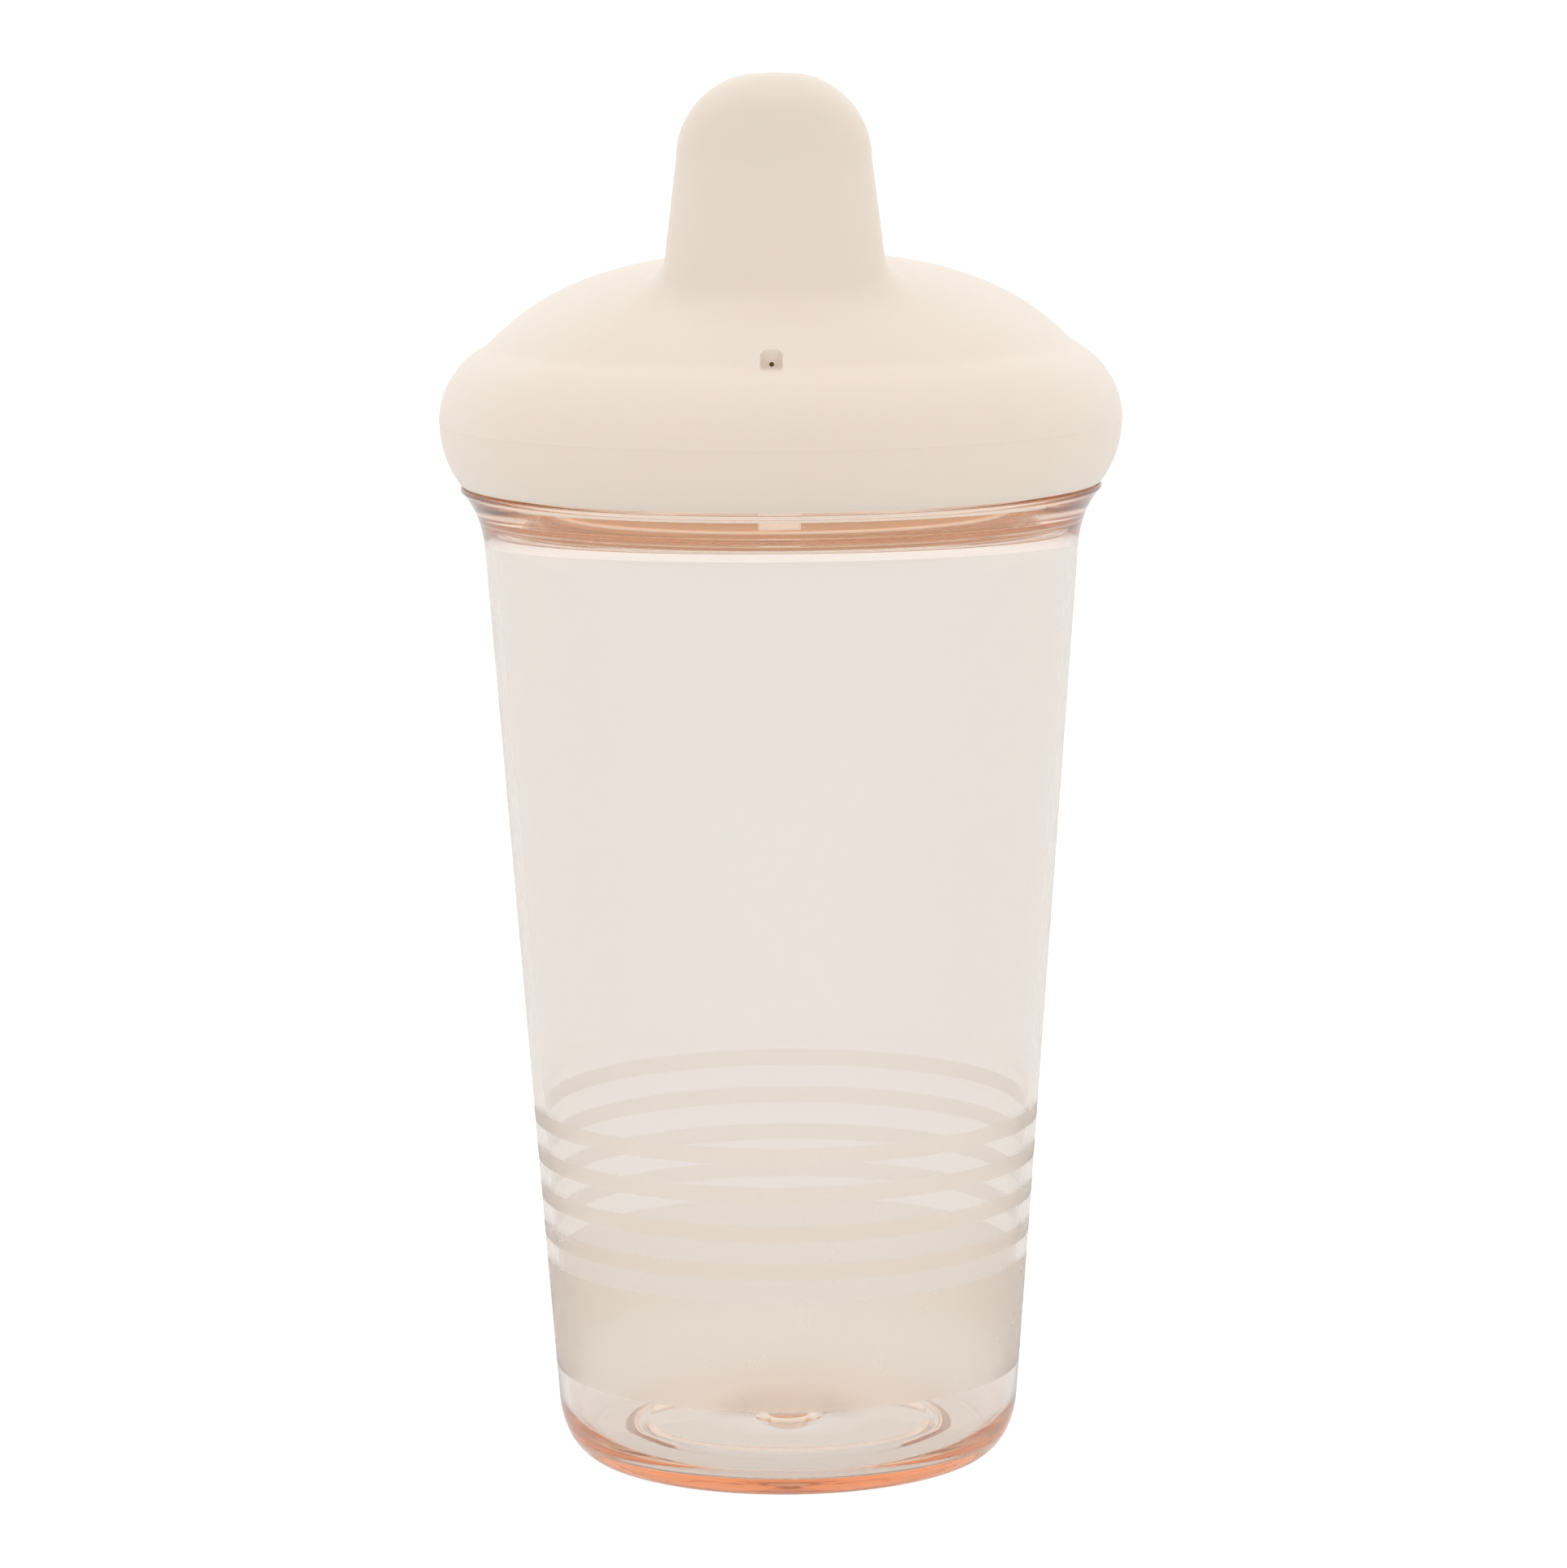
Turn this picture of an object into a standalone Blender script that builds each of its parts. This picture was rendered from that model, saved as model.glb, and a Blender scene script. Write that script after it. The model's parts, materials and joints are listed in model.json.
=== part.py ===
"""Hard-spout sippy cup: a clear tapered cup, a screw-on lid with a spout, a one-piece valve and a seal ring.

The cup stands on the floor plane with its axis on +Z. The spout and the vent are at the front, towards -Y.
All sizes are in metres.
"""
import math

import bmesh
import bpy
from mathutils import Matrix, Vector

# Cup
SHOULDER_HEIGHT = 0.1156
BASE_RADIUS = 0.0268
WALL_TAPER = math.radians(4.18)
CUP_WALL = 0.0012
FLOOR_THICKNESS = 0.0018
FLOOR_RAISE = 0.0020
FOOT_RECESS_RADIUS = 0.0192
HEEL_WIDTH = 0.0045
HEEL_HEIGHT = 0.0075
FLANGE_REACH = 0.0022
FLANGE_LIP = 0.0005
FLARE_HEIGHT = 0.0078
LEDGE_DEPTH = 0.0030
GATE_RADIUS = 0.0024
GATE_HEIGHT = 0.0007
FLOOR_STEP = 0.0008
LEDGE_ROUND = 0.0012
FLARE_BEND = 0.42

# Neck and thread
NECK_HEIGHT = 0.0119
NECK_STEP = 0.0021
NECK_WALL = 0.0016
THREAD_HEIGHT = 0.0012
THREAD_STARTS = 2
THREAD_LEAD = 0.0084
RIDGE_BASE = 0.0017
RIDGE_CREST = 0.0008
RIDGE_ROOT_BURY = 0.0004
THREAD_MARGIN = 0.0008

# Lid
LID_BULGE = 0.0024
SKIRT_DROP = 0.0071
CREASE_RISE = 0.0088
RIM_ARC = 0.0097
DOME_RISE = 0.0107
DOME_CROWN_SHARE = 0.50
DOME_EDGE_SHARE = (0.79, 0.715)
LID_WALL = 0.0018
SKIRT_WALL = 0.0015
SKIRT_LIFT = 0.0031
SEAL_SEAT_OVERLAP = 0.0010

# Spout
TIP_RISE = 0.0408
SPOUT_HALF_WIDTH = 0.0111
SPOUT_HALF_DEPTH = 0.0054
SPOUT_FLANK_SLOPE = 0.125
SPOUT_FACE_SLOPE = 0.105
SPOUT_SET_FORWARD = 0.0032
TIP_ARC = 0.0095
TIP_EDGE_ARC = 0.0042
SPOUT_FILLET = 0.0045
SPOUT_SQUARENESS = 2.5
SPOUT_WALL = 0.0017
DRINK_HOLE_RADIUS = 0.0010
DRINK_HOLE_SPACING = 0.0042

# Collar, vent boss and valve
SOCKET_BOTTOM = 0.0034
COLLAR_HALF_WIDTH = 0.0114
COLLAR_HALF_DEPTH = 0.00735
COLLAR_WALL = 0.0014
VENT_BOSS_RADIUS = 0.0026
VENT_BOSS_WALL = 0.0012
VENT_PASSAGE_RADIUS = 0.0011
VENT_PASSAGE_LIFT = 0.0043
VENT_RIB_HALF_WIDTH = 0.0020
VENT_MOUTH_WIDTH = 0.0029
VENT_MOUTH_HEIGHT = 0.0027
VENT_MOUTH_DROP = 0.0008
VENT_MOUTH_DEPTH = 0.0030
VALVE_WALL = 0.0011
VALVE_FLOOR = 0.0009
VALVE_CUP_DEPTH = 0.0020
VALVE_CUP_OVERLAP = 0.0006
SLIT_LENGTH = 0.0060
VENT_SLIT_LENGTH = 0.0024
SLIT_WIDTH = 0.0003
WEB_WIDTH = 0.0060
TAB_WIDTH = 0.0050
TAB_DROP = 0.0045
TAB_THICKNESS = 0.0014
SEAL_THICKNESS = 0.0015
SEAL_INSET = 0.0003

# Clearances
PART_GAP = 0.0003
THREAD_CLEARANCE = 0.0004
VALVE_CLEARANCE = 0.0003
VALVE_NECK_CLEARANCE = 0.0008
CUT_MARGIN = 0.0020

# Facets
TURN_STEPS = 48
DOME_STEPS = 9
SECTION_POINTS = 24
FILLET_DEGREES = (6, 30, 55, 80)
RIDGE_RUNOUT_STEPS = 5
SHARP_ANGLE = math.radians(35)
MERGE = 0.00002


def wall_radius(height):
    """Outer radius of the cup's straight tapered wall at a height above the floor."""
    return BASE_RADIUS + height * math.tan(WALL_TAPER)


SHOULDER_WALL_RADIUS = wall_radius(SHOULDER_HEIGHT)
FLANGE_RADIUS = SHOULDER_WALL_RADIUS + FLANGE_REACH
NECK_RADIUS = SHOULDER_WALL_RADIUS - NECK_STEP
NECK_BORE = NECK_RADIUS - NECK_WALL
NECK_TOP = SHOULDER_HEIGHT + NECK_HEIGHT

LID_EDGE = SHOULDER_HEIGHT + PART_GAP
PARTING = LID_EDGE + SKIRT_DROP
CREASE = PARTING + CREASE_RISE
TIP = PARTING + TIP_RISE
LID_RADIUS = FLANGE_RADIUS + LID_BULGE
CREASE_RADIUS = LID_RADIUS - RIM_ARC + math.sqrt(RIM_ARC ** 2 - CREASE_RISE ** 2)
SKIRT_BORE = NECK_RADIUS + THREAD_HEIGHT + THREAD_CLEARANCE
SKIRT_RADIUS = SKIRT_BORE + SKIRT_WALL
SEAL_FACE = NECK_TOP + PART_GAP + SEAL_THICKNESS + PART_GAP

DOME_TOP = CREASE + DOME_RISE
SOCKET_END = PARTING + SOCKET_BOTTOM
VALVE_SKIN = VALVE_CLEARANCE + VALVE_WALL
VENT_AXIS = NECK_BORE - VALVE_NECK_CLEARANCE - VALVE_SKIN - VENT_BOSS_RADIUS
COLLAR_AXIS = VENT_AXIS - VENT_BOSS_RADIUS - 2 * VALVE_SKIN + VALVE_CUP_OVERLAP - COLLAR_HALF_DEPTH
SPOUT_AXIS = COLLAR_AXIS + SPOUT_SET_FORWARD


# ---------------------------------------------------------------- building blocks

def new_collection(name):
    """Make a collection under the scene."""
    collection = bpy.data.collections.new(name)
    bpy.context.scene.collection.children.link(collection)
    return collection


def new_object(name, mesh, collection):
    """Put a mesh into a collection under its own name."""
    obj = bpy.data.objects.new(name, mesh)
    collection.objects.link(obj)
    return obj


def hide_helper(obj):
    """Show a cutter or a joined helper only as wires, and leave it out of renders."""
    obj.hide_render = True
    obj.display_type = 'WIRE'
    return obj


def turned(name, profile, collection):
    """Turn a profile of (radius, height) points, listed down the outer side, into a round solid."""
    vertices = [(radius, 0.0, height) for radius, height in profile]
    closed = profile[0][0] > MERGE
    edges = [(i, i + 1) for i in range(len(profile) - 1)]
    if closed:
        edges.append((len(profile) - 1, 0))
    mesh = bpy.data.meshes.new(name)
    mesh.from_pydata(vertices, edges, [])
    obj = new_object(name, mesh, collection)
    screw = obj.modifiers.new("turn", 'SCREW')
    screw.steps = TURN_STEPS
    screw.render_steps = TURN_STEPS
    screw.use_merge_vertices = True
    screw.merge_threshold = MERGE
    return obj


def loft(name, sections, collection):
    """Join equal rings of points, one above the other, into a capped solid."""
    bm = bmesh.new()
    rings = [[bm.verts.new(point) for point in section] for section in sections]
    for lower, upper in zip(rings, rings[1:]):
        for i in range(len(lower)):
            j = (i + 1) % len(lower)
            bm.faces.new((lower[i], lower[j], upper[j], upper[i]))
    bm.faces.new(reversed(rings[0]))
    bm.faces.new(rings[-1])
    bmesh.ops.recalc_face_normals(bm, faces=bm.faces)
    mesh = bpy.data.meshes.new(name)
    bm.to_mesh(mesh)
    bm.free()
    return new_object(name, mesh, collection)


def rod(name, radius, start, end, collection, sides=32, squash=(1.0, 1.0)):
    """A cylinder between two points; squash scales its section along the cylinder's own X and Y."""
    start, end = Vector(start), Vector(end)
    bm = bmesh.new()
    bmesh.ops.create_cone(bm, cap_ends=True, segments=sides, radius1=radius, radius2=radius,
                          depth=(end - start).length)
    turn = Vector((0.0, 0.0, 1.0)).rotation_difference(end - start).to_matrix().to_4x4()
    stretch = Matrix.Diagonal((squash[0], squash[1], 1.0, 1.0))
    bm.transform(Matrix.Translation((start + end) / 2) @ turn @ stretch)
    mesh = bpy.data.meshes.new(name)
    bm.to_mesh(mesh)
    bm.free()
    return new_object(name, mesh, collection)


def block(name, low, high, collection):
    """A box between two corners."""
    low, high = Vector(low), Vector(high)
    bm = bmesh.new()
    bmesh.ops.create_cube(bm, size=1.0)
    bm.transform(Matrix.Translation((low + high) / 2) @ Matrix.Diagonal((*(high - low), 1.0)))
    mesh = bpy.data.meshes.new(name)
    bm.to_mesh(mesh)
    bm.free()
    return new_object(name, mesh, collection)


def combine(obj, other, operation):
    """Add a Boolean with another object, which is only a helper from then on."""
    modifier = obj.modifiers.new(other.name, 'BOOLEAN')
    modifier.operation = operation
    modifier.solver = 'EXACT'
    modifier.object = hide_helper(other)


def finish(obj, colour, roughness, transmission=0.0):
    """Give a piece its own material, and smooth shading with its sharp corners kept."""
    material = bpy.data.materials.new(obj.name)
    material.use_nodes = True
    shader = material.node_tree.nodes["Principled BSDF"]
    shader.inputs["Base Color"].default_value = (*colour, 1.0)
    shader.inputs["Roughness"].default_value = roughness
    shader.inputs["Metallic"].default_value = 0.0
    shader.inputs["Transmission Weight"].default_value = transmission
    obj.data.materials.append(material)
    obj.data.shade_smooth()
    obj.data.set_sharp_from_angle(angle=SHARP_ANGLE)


def arc(centre, radius, start_deg, end_deg, steps):
    """Points on a circle in the (radius, height) plane, both ends included."""
    points = []
    for i in range(steps + 1):
        angle = math.radians(start_deg + (end_deg - start_deg) * i / steps)
        points.append((centre[0] + radius * math.cos(angle), centre[1] + radius * math.sin(angle)))
    return points


def bezier(points, steps):
    """Points on a Bezier curve of any degree, both ends included."""
    curve = []
    for i in range(steps + 1):
        t = i / steps
        level = [Vector(point) for point in points]
        while len(level) > 1:
            level = [a.lerp(b, t) for a, b in zip(level, level[1:])]
        curve.append(tuple(level[0]))
    return curve


def superellipse(centre_y, half_x, half_y, height, squareness):
    """A ring of points, from a plain ellipse at squareness 2 towards a rounded box above it."""
    ring = []
    for i in range(SECTION_POINTS):
        angle = 2 * math.pi * i / SECTION_POINTS
        c, s = math.cos(angle), math.sin(angle)
        x = half_x * math.copysign(abs(c) ** (2 / squareness), c)
        y = half_y * math.copysign(abs(s) ** (2 / squareness), s)
        ring.append((x, centre_y + y, height))
    return ring


def thread_ridge(name, root, crest, low, high, phase_height, start, collection):
    """One right-hand ridge between two heights; its ends run out to the root.

    root and crest are radii, with the crest inside or outside of the root. phase_height is the height at
    which the ridge of start 0 crosses the +X side.
    """
    turns = (high - low) / THREAD_LEAD
    steps = round(TURN_STEPS * turns)
    first_turn = (low - phase_height) / THREAD_LEAD + start / THREAD_STARTS
    bury = math.copysign(RIDGE_ROOT_BURY, root - crest)
    sections = []
    for i in range(steps + 1):
        rise = min(1.0, (min(i, steps - i) + 0.8) / RIDGE_RUNOUT_STEPS)
        height = low + (high - low) * i / steps
        angle = 2 * math.pi * (first_turn + turns * i / steps)
        top = root + (crest - root) * rise
        corners = ((root + bury, -RIDGE_BASE / 2), (top, -RIDGE_CREST / 2),
                   (top, RIDGE_CREST / 2), (root + bury, RIDGE_BASE / 2))
        sections.append([(r * math.cos(angle), r * math.sin(angle), height + dz) for r, dz in corners])
    return loft(name, sections, collection)


# ---------------------------------------------------------------- cup

def inner_radius(height):
    """Inner radius of the cup's straight wall at a height."""
    return wall_radius(height) - CUP_WALL


def heel_arc(depth, low_deg, steps):
    """Points on the quarter ellipse between wall and foot, moved into the cup by a depth, wall first."""
    wall_angle = -math.atan(math.tan(WALL_TAPER) * HEEL_HEIGHT / HEEL_WIDTH)
    wall_level = HEEL_HEIGHT * (1.0 + math.sin(wall_angle))
    centre = wall_radius(wall_level) - HEEL_WIDTH * math.cos(wall_angle)
    points = []
    for i in range(steps + 1):
        angle = wall_angle + (math.radians(low_deg) - wall_angle) * i / steps
        points.append((centre + (HEEL_WIDTH - depth) * math.cos(angle),
                       HEEL_HEIGHT + (HEEL_HEIGHT - depth) * math.sin(angle)))
    return points


def cup_profile():
    """The cup's section: up the inside from the floor's middle, over the neck and down the outside."""
    floor_top = FLOOR_RAISE + FLOOR_THICKNESS
    ledge = SHOULDER_HEIGHT - LEDGE_DEPTH
    flare_start = SHOULDER_HEIGHT - FLARE_HEIGHT
    inside = [(0.0, floor_top), (FOOT_RECESS_RADIUS - FLOOR_STEP, floor_top)]
    inside += reversed(heel_arc(CUP_WALL, -84, 6))
    inside += [(inner_radius(ledge - LEDGE_ROUND), ledge - LEDGE_ROUND),
               (inner_radius(ledge) - 0.3 * LEDGE_ROUND, ledge - 0.3 * LEDGE_ROUND),
               (inner_radius(ledge) - LEDGE_ROUND, ledge), (NECK_BORE, ledge + FLANGE_LIP)]
    rim = arc((NECK_BORE + NECK_WALL / 2, NECK_TOP - NECK_WALL / 2), NECK_WALL / 2, 180, 0, 6)
    outside = [(NECK_RADIUS, SHOULDER_HEIGHT), (FLANGE_RADIUS - FLANGE_LIP / 2, SHOULDER_HEIGHT),
               (FLANGE_RADIUS, SHOULDER_HEIGHT - FLANGE_LIP / 2)]
    outside += bezier([(FLANGE_RADIUS - FLANGE_LIP / 4, SHOULDER_HEIGHT - FLANGE_LIP),
                       (SHOULDER_WALL_RADIUS - FLANGE_LIP / 2, SHOULDER_HEIGHT - FLARE_BEND * FLARE_HEIGHT),
                       (wall_radius(flare_start), flare_start)], 6)
    outside += heel_arc(0.0, -90, 8)
    outside += [(FOOT_RECESS_RADIUS, 0.0), (FOOT_RECESS_RADIUS - FLOOR_STEP, FLOOR_RAISE),
                (0.0, FLOOR_RAISE)]
    return inside + rim + outside


def gate_profile():
    """The low round mark left at the middle of the floor by the mould's gate."""
    floor_top = FLOOR_RAISE + FLOOR_THICKNESS
    dome = [(GATE_RADIUS * math.sin(math.radians(a)), floor_top + GATE_HEIGHT * math.cos(math.radians(a)))
            for a in range(0, 91, 18)]
    buried = floor_top - FLOOR_THICKNESS / 3
    return dome + [(GATE_RADIUS, buried), (0.0, buried)]


def make_cup(parts, helpers):
    """The clear cup: tapered wall, raised floor, flared shoulder and threaded neck."""
    cup = turned("cup_body", cup_profile(), parts)
    combine(cup, turned("gate_mark", gate_profile(), helpers), 'UNION')
    low = SHOULDER_HEIGHT + THREAD_MARGIN + RIDGE_BASE / 2
    high = NECK_TOP - NECK_WALL / 2 - RIDGE_BASE / 2
    for start in range(THREAD_STARTS):
        ridge = thread_ridge(f"neck_ridge_{start}", NECK_RADIUS, NECK_RADIUS + THREAD_HEIGHT,
                             low, high, SHOULDER_HEIGHT, start, helpers)
        combine(cup, ridge, 'UNION')
    finish(cup, (0.93, 0.80, 0.70), 0.08, transmission=0.9)
    return cup


# ---------------------------------------------------------------- lid

def dome_curve(steps):
    """The dome's outer section from the axis to the crease."""
    edge_radius, edge_rise = DOME_EDGE_SHARE
    return bezier([(0.0, DOME_TOP),
                   (CREASE_RADIUS * DOME_CROWN_SHARE, DOME_TOP),
                   (CREASE_RADIUS * edge_radius, CREASE + DOME_RISE * edge_rise),
                   (CREASE_RADIUS, CREASE)], steps)


def dome_inside(depth, radius_limit, steps):
    """The dome's section moved into the lid by a depth, from the axis out to a radius."""
    curve = [Vector(point) for point in dome_curve(steps)]
    moved = [(0.0, DOME_TOP - depth)]
    for before, spot, after in zip(curve, curve[1:], curve[2:]):
        along = (after - before).normalized()
        inner = spot + Vector((along.y, -along.x)) * depth
        if inner.x < radius_limit:
            moved.append(tuple(inner))
    return moved


def dome_height(radius):
    """Height of the dome's outside at a distance from the axis."""
    points = dome_curve(DOME_STEPS)
    for (r0, z0), (r1, z1) in zip(points, points[1:]):
        if radius <= r1:
            return z0 + (z1 - z0) * (radius - r0) / (r1 - r0)
    return CREASE


def skirt_arc(depth, steps):
    """The rim's lower arc, from its widest level down to the edge, moved into the lid by a depth."""
    radius = (SKIRT_DROP ** 2 + LID_BULGE ** 2) / (2 * LID_BULGE)
    end_deg = -math.degrees(math.asin(SKIRT_DROP / radius))
    return arc((LID_RADIUS - radius, PARTING), radius - depth, 0, end_deg, steps)


def lid_profile():
    """The lid's section: down the dome and the rim, then up the inside and back to the axis."""
    crease_deg = math.degrees(math.asin(CREASE_RISE / RIM_ARC))
    outside = dome_curve(DOME_STEPS)
    outside += arc((LID_RADIUS - RIM_ARC, PARTING), RIM_ARC, crease_deg, 0, 7)[1:]
    outside += skirt_arc(0.0, 6)[1:]
    shell = list(reversed(skirt_arc(LID_WALL, 5)))
    edge = [(shell[0][0], LID_EDGE)]
    pocket_top = PARTING + SKIRT_DROP / 2
    pocket_outer = LID_RADIUS - LID_WALL - (SKIRT_DROP / 2) ** 2 / (2 * RIM_ARC)
    skirt_end = LID_EDGE + SKIRT_LIFT
    skirt = [(pocket_outer, pocket_top), (SKIRT_RADIUS, pocket_top), (SKIRT_RADIUS, skirt_end),
             (SKIRT_BORE, skirt_end), (SKIRT_BORE, SEAL_FACE)]
    seat_radius = NECK_BORE - SEAL_SEAT_OVERLAP
    under = list(reversed(dome_inside(LID_WALL, seat_radius, DOME_STEPS)))
    return outside + edge + shell[1:] + skirt + [(seat_radius, SEAL_FACE), (seat_radius, under[0][1])] + under


def spout_half_sizes(height):
    """Half width and half depth of the spout's outside at a height, with the tip rounded over."""
    down = TIP - height
    half_x = SPOUT_HALF_WIDTH + SPOUT_FLANK_SLOPE * max(down - TIP_ARC, 0.0)
    half_y = SPOUT_HALF_DEPTH + SPOUT_FACE_SLOPE * max(down - TIP_ARC, 0.0)
    half_x -= TIP_ARC - math.sqrt(TIP_ARC ** 2 - max(TIP_ARC - down, 0.0) ** 2)
    half_y -= TIP_EDGE_ARC - math.sqrt(TIP_EDGE_ARC ** 2 - max(TIP_EDGE_ARC - down, 0.0) ** 2)
    return half_x, half_y


def spout_ring(height):
    """The spout's outside at a height."""
    return superellipse(-SPOUT_AXIS, *spout_half_sizes(height), height, SPOUT_SQUARENESS)


def fillet_ring(degrees):
    """A ring of the fillet that rolls from the dome (0 degrees) up onto the spout's side (90 degrees)."""
    out = SPOUT_FILLET * (1.0 - math.sin(math.radians(degrees)))
    up = SPOUT_FILLET * (1.0 - math.cos(math.radians(degrees)))
    half_x, half_y = spout_half_sizes(DOME_TOP)
    ring = []
    for x, y, _ in superellipse(0.0, half_x, half_y, 0.0, SPOUT_SQUARENESS):
        power = SPOUT_SQUARENESS - 1.0
        normal = Vector((math.copysign(abs(x / half_x) ** power / half_x, x),
                         math.copysign(abs(y / half_y) ** power / half_y, y))).normalized()
        foot = Vector((x, y - SPOUT_AXIS)) + normal * SPOUT_FILLET
        spot = Vector((x, y - SPOUT_AXIS)) + normal * out
        ring.append((spot.x, spot.y, dome_height(foot.length) + up))
    return ring


def make_spout(helpers):
    """The spout's outside as a solid, rooted in the dome's wall with a fillet round its base."""
    root = [(x, y, z - LID_WALL / 2) for x, y, z in fillet_ring(FILLET_DEGREES[0])]
    rings = [root] + [fillet_ring(degrees) for degrees in FILLET_DEGREES]
    flank_low = DOME_TOP + SPOUT_FILLET + CUT_MARGIN / 2
    flank_high = TIP - TIP_ARC
    rings += [spout_ring(flank_low + (flank_high - flank_low) * share) for share in (0.0, 0.5)]
    for degrees in (0, 18, 34, 48, 60, 71, 80, 88):
        rings.append(spout_ring(TIP - TIP_ARC * (1.0 - math.sin(math.radians(degrees)))))
    return loft("spout", rings, helpers)


def make_spout_hollow(helpers):
    """The hollow through the collar and up the spout, a wall's thickness inside it."""
    bore_x = COLLAR_HALF_WIDTH - COLLAR_WALL
    bore_y = COLLAR_HALF_DEPTH - COLLAR_WALL
    rings = [superellipse(-COLLAR_AXIS, bore_x, bore_y, height, 2.0)
             for height in (SOCKET_END - CUT_MARGIN, DOME_TOP - 2 * LID_WALL)]
    for outer_level in (DOME_TOP + 2 * LID_WALL, TIP - TIP_ARC, TIP - 0.55 * TIP_ARC, TIP - 0.25 * TIP_ARC,
                        TIP - 0.10 * TIP_ARC):
        half_x, half_y = spout_half_sizes(outer_level)
        rings.append(superellipse(-SPOUT_AXIS, half_x - SPOUT_WALL, half_y - SPOUT_WALL,
                                  outer_level - SPOUT_WALL, SPOUT_SQUARENESS))
    return loft("spout_hollow", rings, helpers)


def vent_line():
    """The vent passage's ends: in the boss's hollow, and behind the mouth on the crease."""
    inner = Vector((0.0, -VENT_AXIS, SOCKET_END + VENT_PASSAGE_LIFT))
    outer = Vector((0.0, VENT_MOUTH_DEPTH - CREASE_RADIUS, CREASE + VENT_MOUTH_HEIGHT / 2 - VENT_MOUTH_DROP))
    return inner, outer


def make_sockets(helpers):
    """The oval collar under the spout, the vent boss and the rib round the vent's passage."""
    sockets = rod("collar", 1.0, (0.0, -COLLAR_AXIS, SOCKET_END), (0.0, -COLLAR_AXIS, DOME_TOP), helpers,
                  sides=40, squash=(COLLAR_HALF_WIDTH, COLLAR_HALF_DEPTH))
    boss = rod("vent_boss", VENT_BOSS_RADIUS, (0.0, -VENT_AXIS, SOCKET_END), (0.0, -VENT_AXIS, DOME_TOP),
               helpers, sides=28)
    rib_bottom = vent_line()[0].z - VENT_RIB_HALF_WIDTH
    rib = block("vent_rib", (-VENT_RIB_HALF_WIDTH, SEAL_SEAT_OVERLAP / 2 - NECK_BORE, rib_bottom),
                (VENT_RIB_HALF_WIDTH, -VENT_AXIS, DOME_TOP), helpers)
    core = turned("dome_core", dome_inside(LID_WALL / 2, CREASE_RADIUS, DOME_STEPS)
                  + [(CREASE_RADIUS - LID_WALL, PARTING - SKIRT_DROP), (0.0, PARTING - SKIRT_DROP)], helpers)
    combine(sockets, boss, 'UNION')
    combine(sockets, rib, 'UNION')
    combine(sockets, core, 'INTERSECT')
    return sockets


def make_vent_mouth(helpers):
    """The arched recess on the crease that the vent opens into."""
    half = VENT_MOUTH_WIDTH / 2
    bottom = CREASE - VENT_MOUTH_DROP
    spring = bottom + VENT_MOUTH_HEIGHT - half
    corner = half / 3
    outline = [(half * math.cos(math.radians(a)), spring + half * math.sin(math.radians(a)))
               for a in range(0, 181, 18)]
    outline += arc((corner - half, bottom + corner), corner, 180, 270, 3)
    outline += arc((half - corner, bottom + corner), corner, 270, 360, 3)
    rings = [[(x, y, z) for x, z in outline] for y in (-LID_RADIUS, VENT_MOUTH_DEPTH - CREASE_RADIUS)]
    return loft("vent_mouth", rings, helpers)


def make_lid(parts, helpers):
    """The lid: one moulding with spout, vent, threaded skirt and the sockets for the valve."""
    lid = turned("lid", lid_profile(), parts)
    combine(lid, make_spout(helpers), 'UNION')
    combine(lid, make_sockets(helpers), 'UNION')
    low = LID_EDGE + SKIRT_LIFT + RIDGE_BASE / 2 + THREAD_MARGIN / 2
    high = NECK_TOP - RIDGE_BASE / 2 - THREAD_MARGIN / 2
    half_pitch = THREAD_LEAD / THREAD_STARTS / 2
    for start in range(THREAD_STARTS):
        ridge = thread_ridge(f"skirt_ridge_{start}", SKIRT_BORE, NECK_RADIUS + THREAD_CLEARANCE,
                             low, high, SHOULDER_HEIGHT + half_pitch, start, helpers)
        combine(lid, ridge, 'UNION')
    combine(lid, make_spout_hollow(helpers), 'DIFFERENCE')
    for i in (-1, 0, 1):
        x = i * DRINK_HOLE_SPACING
        hole = rod(f"drink_hole_{i + 1}", DRINK_HOLE_RADIUS, (x, -SPOUT_AXIS, TIP - TIP_ARC / 2),
                   (x, -SPOUT_AXIS, TIP + CUT_MARGIN), helpers, sides=20)
        combine(lid, hole, 'DIFFERENCE')
    inner, outer = vent_line()
    hollow_top = inner.z + VENT_PASSAGE_RADIUS
    combine(lid, rod("vent_hollow", VENT_BOSS_RADIUS - VENT_BOSS_WALL,
                     (0.0, -VENT_AXIS, SOCKET_END - CUT_MARGIN), (0.0, -VENT_AXIS, hollow_top),
                     helpers, sides=20), 'DIFFERENCE')
    combine(lid, rod("vent_passage", VENT_PASSAGE_RADIUS, inner, outer.lerp(inner, -0.1), helpers,
                     sides=16), 'DIFFERENCE')
    combine(lid, make_vent_mouth(helpers), 'DIFFERENCE')
    finish(lid, (0.93, 0.87, 0.80), 0.42)
    return lid


# ---------------------------------------------------------------- seals

def slit_cross(name, centre, length, low, high, helpers):
    """Two crossed slits through a membrane."""
    x, y = centre
    along = block(name, (x - length / 2, y - SLIT_WIDTH / 2, low), (x + length / 2, y + SLIT_WIDTH / 2, high),
                  helpers)
    across = block(name + "_across", (x - SLIT_WIDTH / 2, y - length / 2, low),
                   (x + SLIT_WIDTH / 2, y + length / 2, high), helpers)
    combine(along, across, 'UNION')
    return along


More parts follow.
